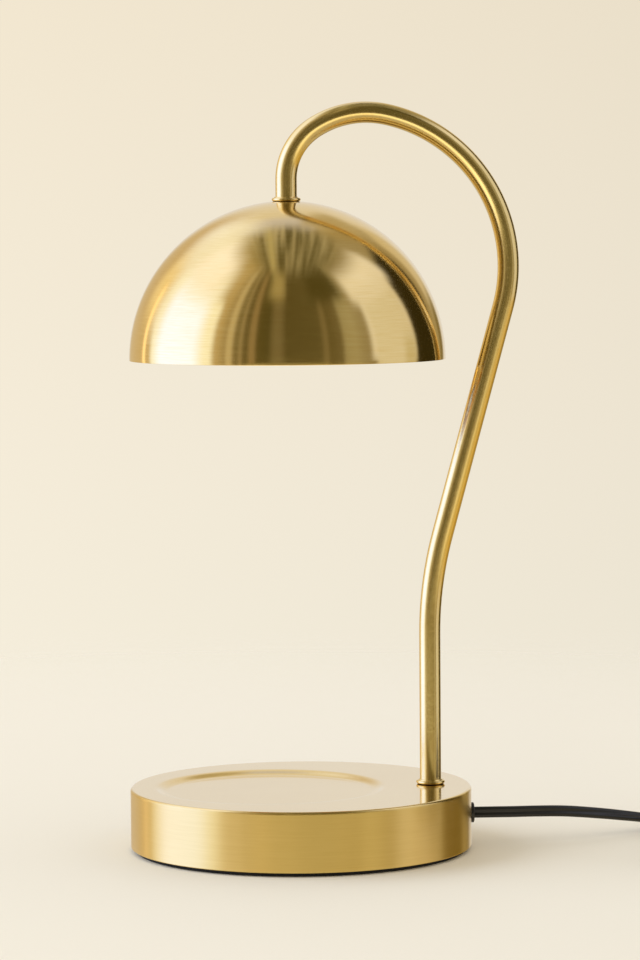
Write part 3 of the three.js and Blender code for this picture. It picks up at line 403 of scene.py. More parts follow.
def noiseNode(tree, vector, scale, detail, roughness=0.5):
    return addNode(tree, "TexNoise", {
        "Vector": vector, "Scale": scale, "Detail": detail, "Roughness": roughness}).outputs[0]


def bumpNode(tree, height, distance, strength):
    return addNode(tree, "Bump", {
        "Height": height, "Distance": distance, "Strength": strength}).outputs[0]


def mixColors(tree, factor, a, b):
    a, b = (tone if isinstance(tone, bpy.types.NodeSocket) else (*tone, 1) for tone in (a, b))
    return addNode(tree, "Mix", {0: factor, 6: a, 7: b}, data_type="RGBA").outputs[2]


def objectPlace(tree):
    return addNode(tree, "TexCoord").outputs["Object"]


def splitVector(tree, vector):
    return addNode(tree, "SeparateXYZ", {0: vector}).outputs


def joinVector(tree, x, y, z):
    return addNode(tree, "CombineXYZ", {0: x, 1: y, 2: z}).outputs[0]


def finishMaterial(tree, shader, color, roughness, bump):
    for socket, value in (("Base Color", color), ("Roughness", roughness), ("Normal", bump)):
        tree.links.new(value, shader.inputs[socket])


# Brass of four finishes: its two tones, least and most roughness, stretch of its highlights, weight of its
# lacquer and depth of its brush strokes or marks in metres
lacquerRoughness = 0.1
brass = {
    "dome": {"light": (0.91, 0.70, 0.30), "deep": (0.85, 0.62, 0.23), "roughness": (0.10, 0.14), "aniso": 0.7,
             "lacquer": 0.5, "depth": 0.000003, "centre": (-0.00477, 0), "spacing": 0.0007, "stroke": 5},
    # The side's two tones are deeper and more orange than the top's and the dome's: painted shade, for the
    # shaded table that the side mirrors; its roughness and stretch are its brushed finish
    "side": {"light": (0.89, 0.66, 0.24), "deep": (0.84, 0.61, 0.21), "roughness": (0.32, 0.35), "aniso": 0.86,
             "lacquer": 0.25, "depth": 0.0000015, "centre": (0, 0), "spacing": 0.0008, "stroke": 3},
    "top": {"light": (0.91, 0.70, 0.30), "deep": (0.85, 0.62, 0.23), "roughness": (0.12, 0.16), "aniso": 0.3,
            "lacquer": 1.0, "depth": 0.00001, "centre": (0, 0), "spacing": 0.0005, "stroke": 26},
    "tube": {"light": (0.91, 0.72, 0.32), "deep": (0.86, 0.64, 0.25), "roughness": (0.17, 0.21),
             "lacquer": 0.4, "depth": 0.000004},
}


def grainAround(tree, finish):
    # Brush strokes that run round a vertical axis: long round the axis, fine across it
    x, y, z = splitVector(tree, objectPlace(tree))
    dx, dy = (mathNode(tree, "SUBTRACT", a, middle) for a, middle in zip((x, y), finish["centre"]))
    away = distanceNode(tree, dx, dy)
    atLeast = mathNode(tree, "MAXIMUM", away, 0.0005)
    around = [multiply(tree, mathNode(tree, "DIVIDE", d, atLeast), finish["stroke"]) for d in (dx, dy)]
    across = mathNode(tree, "DIVIDE", mathNode(tree, "SUBTRACT", z, away), finish["spacing"])
    return joinVector(tree, *around, across)


def brushedBrass(name, finish):
    material, tree, shader = startMaterial(name, metallic=1.0, aniso=finish["aniso"], anisoTurn=0.25,
                                           coat=finish["lacquer"], coatRoughness=lacquerRoughness)
    fineGrain = noiseNode(tree, grainAround(tree, finish), 1.0, 2, 0.6)
    broad = noiseNode(tree, objectPlace(tree), 18, 2)
    tint = mapRange(tree, blendValues(tree, fineGrain, broad, 0.5), 0.38, 0.62, 0, 1)
    finishMaterial(tree, shader, mixColors(tree, tint, finish["deep"], finish["light"]),
                   mapRange(tree, fineGrain, 0.3, 0.7, *finish["roughness"]),
                   bumpNode(tree, fineGrain, finish["depth"], 0.5))
    tangent = addNode(tree, "Tangent", direction_type="RADIAL", axis="Z").outputs[0]
    tree.links.new(tangent, shader.inputs["Tangent"])
    return material


def polishedBrass(name, finish):
    material, tree, shader = startMaterial(name, metallic=1.0, coat=finish["lacquer"],
                                           coatRoughness=lacquerRoughness)
    place = objectPlace(tree)
    broad = noiseNode(tree, place, 30, 3)
    fineMarks = noiseNode(tree, place, 900, 3, 0.6)
    tint = mapRange(tree, blendValues(tree, broad, fineMarks, 0.7), 0.35, 0.65, 0, 1)
    finishMaterial(tree, shader, mixColors(tree, tint, finish["deep"], finish["light"]),
                   mapRange(tree, fineMarks, 0.35, 0.65, *finish["roughness"]),
                   bumpNode(tree, fineMarks, finish["depth"], 0.3))
    return material


def grainedMaterial(name, color, darker, roughness, scale, depth, **values):
    # Two tones, uneven gloss and a fine bump of one grain size
    material, tree, shader = startMaterial(name, **values)
    place = objectPlace(tree)
    grain = noiseNode(tree, place, scale, 4, 0.6)
    broad = noiseNode(tree, place, scale / 14, 2)
    tint = blendValues(tree, grain, broad, 0.6)
    finishMaterial(tree, shader, mixColors(tree, mapRange(tree, tint, 0.35, 0.65, 0, 1), darker, color),
                   mapRange(tree, tint, 0.35, 0.65, roughness[1], roughness[0]),
                   bumpNode(tree, grain, depth, 0.6))
    return material


looks = {
    "dome": brushedBrass("spunBrassDome", brass["dome"]),
    "drum": brushedBrass("brushedBrassSide", brass["side"]),
    "deck": brushedBrass("satinBrassTop", brass["top"]),
    "tube": polishedBrass("polishedBrassTube", brass["tube"]),
}
# Moulded, cast, fired and plated surfaces: name, tone, darker tone, least and most roughness, grains across
# a metre, their depth in metres, and what else the shader is told
grainedLooks = {
    "steel": ("platedSteel", (0.72, 0.72, 0.71), (0.58, 0.58, 0.58), (0.28, 0.42), 1400, 0.00001,
              {"metallic": 1.0}),
    "iron": ("castIron", (0.09, 0.09, 0.095), (0.045, 0.045, 0.05), (0.6, 0.85), 500, 0.0002,
             {"metallic": 0.6}),
    "foam": ("padFoam", (0.018, 0.018, 0.018), (0.008, 0.008, 0.008), (0.8, 0.95), 1600, 0.0001,
             {"specular": 0.25}),
    "ceramic": ("unglazedCeramic", (0.84, 0.81, 0.74), (0.74, 0.70, 0.62), (0.45, 0.6), 700, 0.00003, {}),
    "plastic": ("mouldedPlastic", (0.016, 0.016, 0.018), (0.009, 0.009, 0.01), (0.38, 0.5), 2200, 0.00002, {}),
    "jacket": ("cordJacket", (0.013, 0.013, 0.015), (0.007, 0.007, 0.008), (0.3, 0.42), 900, 0.00002, {}),
    "sleeve": ("glassSleeve", (0.78, 0.76, 0.70), (0.62, 0.60, 0.54), (0.7, 0.85), 2600, 0.00005,
               {"sheen": 0.2}),
    "board": ("circuitBoard", (0.03, 0.16, 0.05), (0.015, 0.09, 0.03), (0.35, 0.5), 600, 0.00001, {}),
    # seam: painted shadow, a dark sheet laid on the underside of each collar where only shade falls
    "seam": ("seamShadow", (0.05, 0.03, 0.012), (0.02, 0.012, 0.005), (0.6, 0.8), 2000, 0.00002,
             {"metallic": 0.5}),
    "contact": ("contactBrass", (0.80, 0.60, 0.26), (0.66, 0.46, 0.17), (0.25, 0.4), 900, 0.00001,
                {"metallic": 1.0}),
    "silver": ("silveredGlass", (0.86, 0.85, 0.82), (0.74, 0.73, 0.70), (0.08, 0.16), 240, 0.00001,
               {"metallic": 1.0}),
    "strap": ("wovenStrap", (0.022, 0.022, 0.022), (0.01, 0.01, 0.01), (0.75, 0.9), 3000, 0.0001,
              {"sheen": 0.3}),
}
for look, (name, *values, told) in grainedLooks.items():
    looks[look] = grainedMaterial(name, *values, **told)


def bulbGlass():
    material, tree, shader = startMaterial("bulbGlass", color=(0.96, 0.97, 0.97), transmission=1.0, ior=1.47)
    ripple = noiseNode(tree, objectPlace(tree), 160, 2)
    tree.links.new(mapRange(tree, ripple, 0.3, 0.7, 0.02, 0.08), shader.inputs["Roughness"])
    tree.links.new(bumpNode(tree, ripple, 0.00003, 0.3), shader.inputs["Normal"])
    return material


looks["glass"] = bulbGlass()


def dress(piece, look, slot, body, *replaced):
    piece.data.materials.clear()
    piece.data.materials.append(looks[look])
    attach(piece, body)
    if replaced:
        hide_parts(*replaced)
    return piece


for piece in (lampCord, plugCord):
    piece.data.materials.append(looks["jacket"])
print("stage: materials made")

# The base: a drum with a rolled edge and a shallow off-centre dish in its top
base = {
    "radius": 80, "height": 29.5, "lowEdge": 1.85, "fillet": 1.3, "wall": 1.2, "hem": 0.35, "topFlat": 4,
    "dishX": -14.5, "dishRadius": 54.2, "dishDepth": 2, "dishSlope": 6.5, "dishLip": 1.2, "dishSteps": 16,
    "segments": 288, "padTop": 2.1, "padRadius": 77.6, "padEdge": 0.5, "padMiddle": 2,
}


def circleRing(centreX, radius, height):
    return roundRing(fullTurn(base["segments"]), radius, height, centreX)


def baseShellPiece():
    radius, height, dishX = base["radius"], base["height"], base["dishX"]
    side = filletLine([
        (radius - base["wall"], base["lowEdge"], 0), (radius, base["lowEdge"], base["hem"]),
        (radius, height, base["fillet"]), (radius - base["topFlat"], height, 0),
    ], 8)
    rings = [circleRing(0, r, z) for r, z in side]
    outer = rings[-1]
    rim = circleRing(dishX, base["dishRadius"] + base["dishLip"], height)
    rings += [outer + (rim - outer) * t for t in (0.25, 0.5, 0.75, 1)]
    for k in range(1, base["dishSteps"] + 1):
        t = 1 - k / base["dishSteps"]
        rings.append(circleRing(dishX, base["dishRadius"] - base["dishSlope"] * (1 - t),
                                height - base["dishDepth"] * (1 - smoothStep(t, 0, 1))))
    floorRadius = base["dishRadius"] - base["dishSlope"]
    rings += [circleRing(dishX, floorRadius * share, height - base["dishDepth"])
              for share in (0.97, 0.85, 0.6, 0.3, 0.05)]
    piece = stackRings("baseShell", [ring * mm for ring in rings], capStart=False, sharpAngle=50)
    wall = piece.modifiers.new("sheetWall", "SOLIDIFY")
    wall.thickness, wall.offset = base["wall"] * mm, -1
    return piece


baseShell = dress(baseShellPiece(), "drum", "brushed_brass", "lamp", "base_shell")
baseShell.data.materials.append(looks["deck"])
sideTop = (base["height"] - base["fillet"] * 0.4) * mm
topEdge = (base["radius"] - base["topFlat"]) * mm
for face in baseShell.data.polygons:  # the side is brushed round, all of the top is satin
    face.material_index = int(face.center.z > sideTop or math.hypot(face.center.x, face.center.y) < topEdge)
padProfile = filletLine([
    (base["padMiddle"], 0, 0), (base["padRadius"], 0, base["padEdge"]),
    (base["padRadius"], base["padTop"], 0.2), (base["padMiddle"], base["padTop"], 0),
])
basePad = turnedPiece("basePad", padProfile, (0, 0, 0), 192, closed=False)
dress(basePad, "foam", "black_foam", "lamp", "base_pad")
print("stage: base made")

# The stem: a bent tube with a bead ring where it enters the base and the shade
stem = {
    "footX": 61.2, "radius": 5, "bottom": 16.8, "end": 295.71, "riser": 71, "kickRadius": 178,
    "kickTurn": 15.2, "slant": 110.4, "bends": [(72.4, 93), (44.5, 45), (28.5, 57.2)], "neckDrop": 7.9,
    "bendStep": 1.5, "collarRadius": 6.75, "collarHeight": 2.3, "paintedShadowHeight": 0.3, "sides": 48,
}


def stemLine():
    # Straight up, a kick to the right, a long slant, and over in three bends to point down at the neck
    x, z, heading = stem["footX"], base["height"], 0.0
    points = [(x, 0, stem["bottom"]), (x, 0, z)]

    def straight(length):
        nonlocal x, z
        for k in range(1, 5):
            points.append((x + length * math.sin(heading) * k / 4, 0, z + length * math.cos(heading) * k / 4))
        x, _, z = points[-1]

    def bend(radius, degrees):
        nonlocal x, z, heading
        side, start = math.copysign(1, degrees), heading
        centreX = x + side * radius * math.cos(heading)
        centreZ = z - side * radius * math.sin(heading)
        steps = math.ceil(abs(degrees) / stem["bendStep"])
        for k in range(1, steps + 1):
            heading = start + math.radians(degrees) * k / steps
            x, z = centreX - side * radius * math.cos(heading), centreZ + side * radius * math.sin(heading)
            points.append((x, 0, z))

    straight(stem["riser"])
    bend(stem["kickRadius"], stem["kickTurn"])
    straight(stem["slant"])
    for radius, degrees in stem["bends"]:
        bend(radius, -degrees)
    straight(stem["neckDrop"])
    neck = points[-1]
    points.append((neck[0], 0, stem["end"]))
    return np.array(points), neck


stemPath, neckEnd = stemLine()
neckX, neckTop = neckEnd[0], neckEnd[2]
tube = tubePiece("stemTube", stemPath, np.tile((0.0, 1.0, 0.0), (len(stemPath), 1)),
                 circleSection(stem["radius"], stem["sides"]))
dress(tube, "tube", "polished_brass", "lamp", "stem_tube")


def collarPiece(name, x, z):
    # A thin foot, a full round bead and a small step up to the tube
    outer, height, bore = stem["collarRadius"], stem["collarHeight"], stem["radius"] + 0.05
    beadRadius = height * 0.36
    beadX, beadZ = outer - beadRadius, z + height * 0.45
    bead = [(beadX + beadRadius * math.cos(a), beadZ + beadRadius * math.sin(a))
            for a in np.radians(np.linspace(-75, 105, 15))]
    profile = [(bore, z), (outer - 0.9, z), (outer - 0.8, z + 0.12)] + bead
    profile += [(bore + 0.6, z + height * 0.83), (bore + 0.45, z + height * 0.97), (bore + 0.3, z + height),
                (bore, z + height)]
    return turnedPiece(name, profile, (x, 0, 0), 96)


for name, node, x, z in (("footCollar", "foot_collar", stem["footX"], base["height"]),
                         ("neckCollar", "neck_collar", neckX, neckTop - stem["collarHeight"])):
    collar = dress(collarPiece(name, x, z), "tube", "polished_brass", "lamp", node)
    collar.data.materials.append(looks["seam"])
    # Painted shadow: the faces in the lowest part of each collar, where it sits on the deck and the dome, take
    # the dark seam look
    for face in collar.data.polygons:
        face.material_index = int(face.center.z < (z + stem["paintedShadowHeight"]) * mm)
print(f"stage: stem bent, its neck ends at x {neckX:.2f} z {neckTop:.2f} mm")

# The shade: a spun half dome with a small flat land at its crown
shade = {
    "radius": 73.75, "wall": 0.8, "land": 8, "segments": 256, "rings": 72, "rimAngle": 0.004, "rimBreak": 0.12,
}


def shadePiece():
    crown = neckTop - stem["collarHeight"]
    rim = crown - math.sqrt(shade["radius"] ** 2 - shade["land"] ** 2)
    inner = shade["radius"] - shade["wall"]
    topAngle = math.acos(shade["land"] / shade["radius"])
    angles = np.linspace(shade["rimAngle"], topAngle, shade["rings"])
    outside = [(shade["radius"] * math.cos(a), rim + shade["radius"] * math.sin(a)) for a in angles]
    innerAngle = math.asin((crown - shade["wall"] - rim) / inner)
    insideAngles = np.linspace(innerAngle, shade["rimAngle"], shade["rings"] // 2)
    inside = [(inner * math.cos(a), rim + inner * math.sin(a)) for a in insideAngles]
    bore = stem["radius"] + 0.1
    edge = [(inner + shade["rimBreak"], rim), (shade["radius"] - shade["rimBreak"], rim),
            (shade["radius"] - 0.03, rim + 0.05)]
    return turnedPiece("shade", outside + [(bore, crown), (bore, crown - shade["wall"])] + inside + edge,
                       (neckX, 0, 0), shade["segments"], sharpAngle=24), crown, rim


shadeDome, crownZ, rimZ = shadePiece()
dress(shadeDome, "dome", "brushed_brass", "lamp", "shade")
print(f"stage: shade spun, crown at {crownZ:.2f} and rim at {rimZ:.2f} mm")

# The reflector bulb, hanging by its two headed pins
bulb = {
    "faceZ": 228.91, "neckZ": 262.01, "topZ": 274.91, "radius": 25, "neckRadius": 11.5, "baseRadius": 12.5,
    "lens": 2, "band": 1.6, "glassWall": 1.5, "glassFloor": 3, "capsuleRadius": 4.5, "capsuleLength": 22,
    "pinOffset": 5, "pinNeck": 1.3, "pinHead": 2.5, "pinHeadHeight": 3.8, "pinLength": 7, "facets": 48,
    "facetDepth": 0.012, "ringDepth": 0.006,
}


def bulbPieces():
    face, neckZ, top, radius = bulb["faceZ"], bulb["neckZ"], bulb["topZ"], bulb["radius"]
    place = (neckX, 0, 0)
    ridge = bulb["baseRadius"]
    baseProfile = filletLine([
        (0.3, neckZ, 0), (ridge - 0.6, neckZ, 0.3), (ridge, neckZ + 0.8, 0.3), (ridge, neckZ + 4, 0.2),
        (ridge - 0.7, neckZ + 4.5, 0.2), (ridge - 0.7, neckZ + 6, 0.2), (ridge, neckZ + 6.5, 0.2),
        (ridge, top - 1.2, 0.5), (ridge - 1.2, top, 0.4), (0.3, top, 0),
    ], 3)
    dress(turnedPiece("bulbBase", baseProfile, place, 96, closed=False), "ceramic", "ceramic", "bulb",
          "bulb_base")

    steps, low = 24, face + bulb["lens"] + bulb["band"]

    def flare(inset):
        line = []
        for k in range(steps + 1):
            t = k / steps
            r = bulb["neckRadius"] + (radius - bulb["neckRadius"]) * math.sin(t * math.pi / 2)
            line.append((r - inset, neckZ - (neckZ - low) * t * t))
        return line

    lip = face + bulb["lens"]
    outer = [(0.3, neckZ)] + flare(0) + [(radius, lip), (radius - bulb["glassWall"], lip)]
    floor = neckZ - bulb["glassFloor"]
    inner = [p for p in flare(bulb["glassWall"]) if p[1] < floor][::-1]
    rings = []
    angles = fullTurn(bulb["facets"] * 4)
    for i, (r, z) in enumerate(outer + inner + [(inner[-1][0] - 1.5, floor), (0.3, floor)]):
        insideSurface = i >= len(outer)
        facet = np.ones(len(angles))
        if insideSurface and r > 6:
            facet -= bulb["facetDepth"] * (np.abs((angles * bulb["facets"] / (2 * math.pi)) % 1 - 0.5) * 2)
            facet -= bulb["ringDepth"] * (i % 3 == 0)
        rings.append(roundRing(angles, r * facet, z, neckX) * mm)
    dress(stackRings("bulbReflector", rings, sharpAngle=25), "silver", "reflector", "bulb", "bulb_reflector")

    lensProfile = filletLine([
        (0.2, face + 0.25, 0), (3.5, face + 0.25, 0.6), (5.0, face + 0.7, 0.6), (14, face + 0.35, 3),
        (21.5, face + 0.1, 1), (22.2, face + 0.45, 0.3), (23, face, 0.3), (radius, face, 0.7),
        (radius, lip, 0.3), (21, lip, 2), (10, lip - 0.3, 4), (0.2, lip - 0.35, 0),
    ], 5)
    dress(turnedPiece("bulbLens", lensProfile, place, 160, closed=False), "glass", "bulb_glass", "bulb",
          "bulb_lens")

    high, wide = floor, bulb["capsuleRadius"]
    bottom = high - bulb["capsuleLength"]
    capsuleProfile = filletLine([
        (0.1, bottom, 0), (0.7, bottom + 0.1, 0.3), (1.1, bottom + 1.4, 0.5), (wide, bottom + 4.4, 2.2),
        (wide, high - 7, 2), (wide - 1, high - 5.2, 1), (wide - 0.8, high, 0), (0.1, high, 0),
    ], 6)
    dress(turnedPiece("bulbCapsule", capsuleProfile, place, 48, closed=False), "glass", "bulb_glass", "bulb",
          "bulb_capsule")

    shoulder = top + bulb["pinLength"] - bulb["pinHeadHeight"]
    pinTop = top + bulb["pinLength"]
    for number, side in ((1, 1), (2, -1)):
        pinProfile = filletLine([
            (0.1, top, 0), (bulb["pinNeck"], top, 0), (bulb["pinNeck"], shoulder, 0.15),
            (bulb["pinHead"], shoulder, 0.3), (bulb["pinHead"], pinTop, 0.6), (0.1, pinTop, 0),
        ], 4)
        pinPlace = (neckX + side * bulb["pinOffset"], 0, 0)
        pin = turnedPiece(f"bulbPin{number}", pinProfile, pinPlace, 40, closed=False)
        dress(pin, "steel", "steel", "bulb", f"bulb_pin_{number}")


bulbPieces()
print("stage: bulb made")

# The bushing that holds the cord where it leaves the base
bushing = {"radius": 4.75, "barrel": 4, "flange": 1.6, "depth": 4.6, "round": 0.45, "mouth": (3.4, 3.1, 0.5)}


def bushingPiece():
    wall = base["radius"]
    outerMouth, innerMouth, mouthDepth = bushing["mouth"]
    profile = filletLine([
        (0.2, wall - bushing["depth"], 0), (bushing["barrel"], wall - bushing["depth"], 0.3),
        (bushing["barrel"], wall, 0.1), (bushing["radius"], wall, 0.15),
        (bushing["radius"], wall + bushing["flange"], bushing["round"]),
        (outerMouth, wall + bushing["flange"], 0.2), (innerMouth, wall + bushing["flange"] - mouthDepth, 0.2),
        (0.2, wall + bushing["flange"] - mouthDepth, 0),
    ], 5)
    return turnedPiece("cordBushing", profile, (0, 0, cord["outletHeight"]), 64, axis="X", closed=False)


dress(bushingPiece(), "plastic", "black_plastic", "lamp", "cord_bushing")

# The dimmer on the cord, its long side along Y
dimmer = {
    "length": 62, "width": 30, "height": 20, "corner": 13, "edge": 3, "gap": 0.25, "dialRadius": 10,
    "dialBottom": 18.1, "dialTop": 22.4, "ribs": 36, "ribDepth": 0.5, "hole": 10.4, "grommetLength": 18,
    "grommetNeck": 3.1, "grommetRoot": 4.1, "grommetTip": 3.18, "grommetFlat": 0.75, "ridges": 5,
    "seamStep": 0.5, "seamInset": 0.35, "holeEdge": 0.4, "pointerLength": 5.4, "pointerWidth": 1.1,
    "pointerOut": 4,
}


def dimmerRing(inset, z):
    width, length = dimmer["width"] - 2 * inset, dimmer["length"] - 2 * inset
    outline = roundedSection(width, length, dimmer["corner"] - inset, 12)
    return levelRing(outline[:, 0] + dimmerX, outline[:, 1] + dimmerY, z)


def circleLike(ring, radius, z):
    angles = np.arctan2(ring[:, 1] - dimmerY, ring[:, 0] - dimmerX)
    return roundRing(angles, radius, z, dimmerX, dimmerY)


def dimmerShells():
    # Two halves that meet in a bevelled seam, the upper one with a round opening for the dial
    edge, height, hole = dimmer["edge"], dimmer["height"], dimmer["hole"]
    seam, step, lowTop = dimmer["seamInset"], dimmer["seamStep"], parting - dimmer["gap"] / 2
    arc = np.linspace(0, math.pi / 2, 9)
    lower = [dimmerRing(edge * (1 - math.sin(a)), edge * (1 - math.cos(a))) for a in arc]
    lower += [dimmerRing(0, parting - step), dimmerRing(seam, lowTop), dimmerRing(3, lowTop)]
    upper = [dimmerRing(3, parting), dimmerRing(seam, parting), dimmerRing(0, parting + step)]
    upper += [dimmerRing(edge * (1 - math.cos(a)), height - edge * (1 - math.sin(a))) for a in arc]
    top = upper[-1]
    rim = circleLike(top, hole + 0.5, height)
    upper += [top + (rim - top) * t for t in (0.5, 1)]
    upper += [circleLike(top, hole, height - dimmer["holeEdge"]),
              circleLike(top, hole, dimmer["dialBottom"] - dimmer["holeEdge"])]
    return (stackRings("dimmerLowerShell", [r * mm for r in lower]),
            stackRings("dimmerUpperShell", [r * mm for r in upper]))


def dialPiece():
    angles = fullTurn(dimmer["ribs"] * 6)
    rib = 0.5 + 0.5 * np.cos(angles * dimmer["ribs"])
    profile = filletLine([
        (8.9, dimmer["dialBottom"], 0), (dimmer["dialRadius"], dimmer["dialBottom"], 0.3),
        (dimmer["dialRadius"], dimmer["dialTop"], 0.7), (8, dimmer["dialTop"], 0.5),
        (7.2, dimmer["dialTop"] - 0.45, 0.5), (1.5, dimmer["dialTop"] - 0.45, 0),
    ], 4)
    rings = []
    for radius, z in profile:
        depth = dimmer["ribDepth"] if radius > 9.2 else 0
        rings.append(roundRing(angles, radius - depth * (1 - rib), z, dimmerX, dimmerY) * mm)
    return stackRings("dimmerDial", rings, sharpAngle=50)


def pointerPiece():
    # A pale bar let into the dial
    length, width = dimmer["pointerLength"], dimmer["pointerWidth"]
    outline = roundedSection(length, width, 0.5, 5)
    rings = []
    for inset, z in ((0, -0.6), (0, -0.14), (0.1, -0.04), (0.3, 0)):
        scaled = outline * np.array((1 - 2 * inset / length, 1 - 2 * inset / width))
        rings.append(levelRing(dimmerX + scaled[:, 1], dimmerY - dimmer["pointerOut"] - scaled[:, 0],
                               dimmer["dialTop"] + z) * mm)
    return stackRings("dialPointer", rings)


def grommetPiece(name, side):
    # A tapered strain relief with ring slots, flattened like the cord it holds
    face = dimmerY + side * dimmer["length"] / 2
    corners = [(0.2, -3, 0), (dimmer["grommetNeck"], -3, 0.2), (dimmer["grommetNeck"], 0.3, 0),
               (dimmer["grommetRoot"], 0.35, 0.3), (dimmer["grommetRoot"], 2.6, 0.3)]
    span = (dimmer["grommetLength"] - 3.5) / dimmer["ridges"]
    for k in range(dimmer["ridges"]):
        t = k / dimmer["ridges"]
        r = dimmer["grommetRoot"] + (dimmer["grommetTip"] - dimmer["grommetRoot"]) * t - 0.12
        at = 2.9 + span * k
        corners += [(r - 0.55, at, 0.2), (r - 0.55, at + span * 0.35, 0.2), (r - 0.05, at + span * 0.45, 0.2),
                    (r - 0.12, at + span * 0.95, 0.2)]
    corners += [(dimmer["grommetTip"] - 0.1, 18.2, 0.2), (2.75, 18.3, 0), (0.2, 18.3, 0)]
    profile = [(r, face + side * y) for r, y in filletLine(corners, 3)]
    return turnedPiece(name, profile, (dimmerX, 0, parting), 48, axis="Y", closed=False,
                       squash=(1, dimmer["grommetFlat"]))


lowerShell, upperShell = dimmerShells()
dimmerPieces = [
    dress(lowerShell, "plastic", "black_plastic", "lamp", "dimmer_lower_shell"),
    dress(upperShell, "plastic", "black_plastic", "lamp", "dimmer_upper_shell"),
    dress(dialPiece(), "plastic", "black_plastic", "dial", "dimmer_dial"),
    dress(pointerPiece(), "ceramic", "ceramic", "dial"),
    dress(grommetPiece("dimmerGrommet1", 1), "plastic", "black_plastic", "lamp", "dimmer_grommet_1"),
    dress(grommetPiece("dimmerGrommet2", -1), "plastic", "black_plastic", "lamp", "dimmer_grommet_2"),
]
print("stage: dimmer made")

# The plug, its blades towards -X
plug = {
    "bladeLength": 17, "bladeWidth": 6.3, "bladeThickness": 1.5, "bladeSpacing": 12.7, "bladeRoot": 8,
    "bladeNose": 1.6, "bladeEdge": 0.25, "bladeTaper": 0.94, "holeFromTip": 5, "holeRadius": 1.5, "grooves": 3,
    "tailRings": 4,
}


def plugBodyPiece():
    # (distance from the face, width, thickness, corner) down the body and its tapered tail
    rows = [(0, 21, 11, 4), (0.3, 22.4, 12.4, 4.6), (1.2, 23.6, 13.6, 5), (3, 24, 14, 5), (8, 24, 14, 5)]
    for k in range(plug["grooves"]):
        at = 10 + 4 * k
        width = 23.4 - 2.1 * k
        rows += [(at, width, 13.8, 5), (at + 0.8, width - 1.6, 13.2, 5), (at + 1.9, width - 1.8, 13.1, 5),
                 (at + 2.7, width - 0.9, 13.7, 5)]
    rows += [(23, 17, 13, 5), (26, 12.5, 11.4, 5), (27.5, 10.6, 10.4, 5)]
    for k in range(plug["tailRings"]):
        at = 29 + 4 * k
        shrink = 1 - 0.13 * k
        rows += [(at + step, width * shrink, thickness * shrink - 0.5, corner)
                 for step, width, thickness, corner in ((0, 10, 9.8, 5), (0.5, 8.6, 8, 4), (1.7, 8.4, 7.8, 4),
                                                        (2.2, 9.6, 9.2, 5))]
    rows += [(45.5, 6.5, 4.6, 2.2), (47, 6.2, 4, 1.9)]
    rings = []
    for at, width, thickness, corner in rows:
        outline = roundedSection(width, thickness, min(corner, thickness / 2 - 0.2), 8)
        rings.append(np.column_stack([np.full(len(outline), plugX + at), plugY - outline[:, 0],
                                      outline[:, 1] + cord["plugHeight"]]) * mm)
    return stackRings("plugBody", rings, sharpAngle=50)


def bladePiece(name, side):
    # A flat contact blade with a chamfered nose and a round hole
    half, length, thick = plug["bladeWidth"] / 2, plug["bladeLength"], plug["bladeThickness"] / 2
    root, nose, edge = plug["bladeRoot"], plug["bladeNose"], thick - plug["bladeEdge"]
    outer = np.array(filletLine([(root, -half, 0), (-length, -half, nose), (-length, half, nose),
                                 (root, half, 0)], 6))
    narrower = outer * (1, plug["bladeTaper"])
    holeX, holeRadius = -length + plug["holeFromTip"], plug["holeRadius"]
    angles = np.arctan2(outer[:, 1], outer[:, 0] - holeX)
    hole = np.column_stack([holeX + holeRadius * np.cos(angles), holeRadius * np.sin(angles)])
    middleY = plugY + side * plug["bladeSpacing"] / 2
    rings = []
    for outline, offset in ((hole, -thick), (narrower, -thick), (outer, -edge), (outer, edge),
                            (narrower, thick), (hole, thick)):
        rings.append(np.column_stack([plugX + outline[:, 0], np.full(len(outline), middleY + offset),
                                      cord["plugHeight"] + outline[:, 1]]) * mm)
    return stackRings(name, rings, closed=True, sharpAngle=25)


plugPieces = [
    dress(plugBodyPiece(), "plastic", "black_plastic", "lamp", "plug_body"),
    dress(bladePiece("plugBlade1", 1), "steel", "steel", "lamp", "plug_blade_1"),
    dress(bladePiece("plugBlade2", -1), "steel", "steel", "lamp", "plug_blade_2"),
]
print("stage: plug made")

# The strap that ties the coil
tie = {"angle": 20, "width": 8, "thickness": 0.5, "corner": 2.2}


def tiePiece():
    # As long and as high as the CAD strap, which lies across the coil at the same angle
    low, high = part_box("coil_tie")
    turn = math.radians(tie["angle"])
    outX, outY = math.cos(turn), math.sin(turn)
    centre = Vector(((low.x + high.x) / 2, (low.y + high.y) / 2, 0)) / mm
    height = high.z / mm
    span = ((high.x - low.x) / mm - tie["width"] * outY) / outX
    rings = []
    for inset, depth in ((0.0, 0.5), (0.0, -0.5), (tie["thickness"], -0.5), (tie["thickness"], 0.5)):
        outline = roundedSection(span - 2 * inset, height - 2 * inset, tie["corner"] - inset, 8)
        along = depth * tie["width"]
        rings.append(np.column_stack([
            centre.x + outline[:, 0] * outX - along * outY, centre.y + outline[:, 0] * outY + along * outX,
            outline[:, 1] + height / 2]) * mm)
    return stackRings("coilTie", rings, closed=True)


coilTie = dress(tiePiece(), "strap", "black_foam", "lamp", "coil_tie")

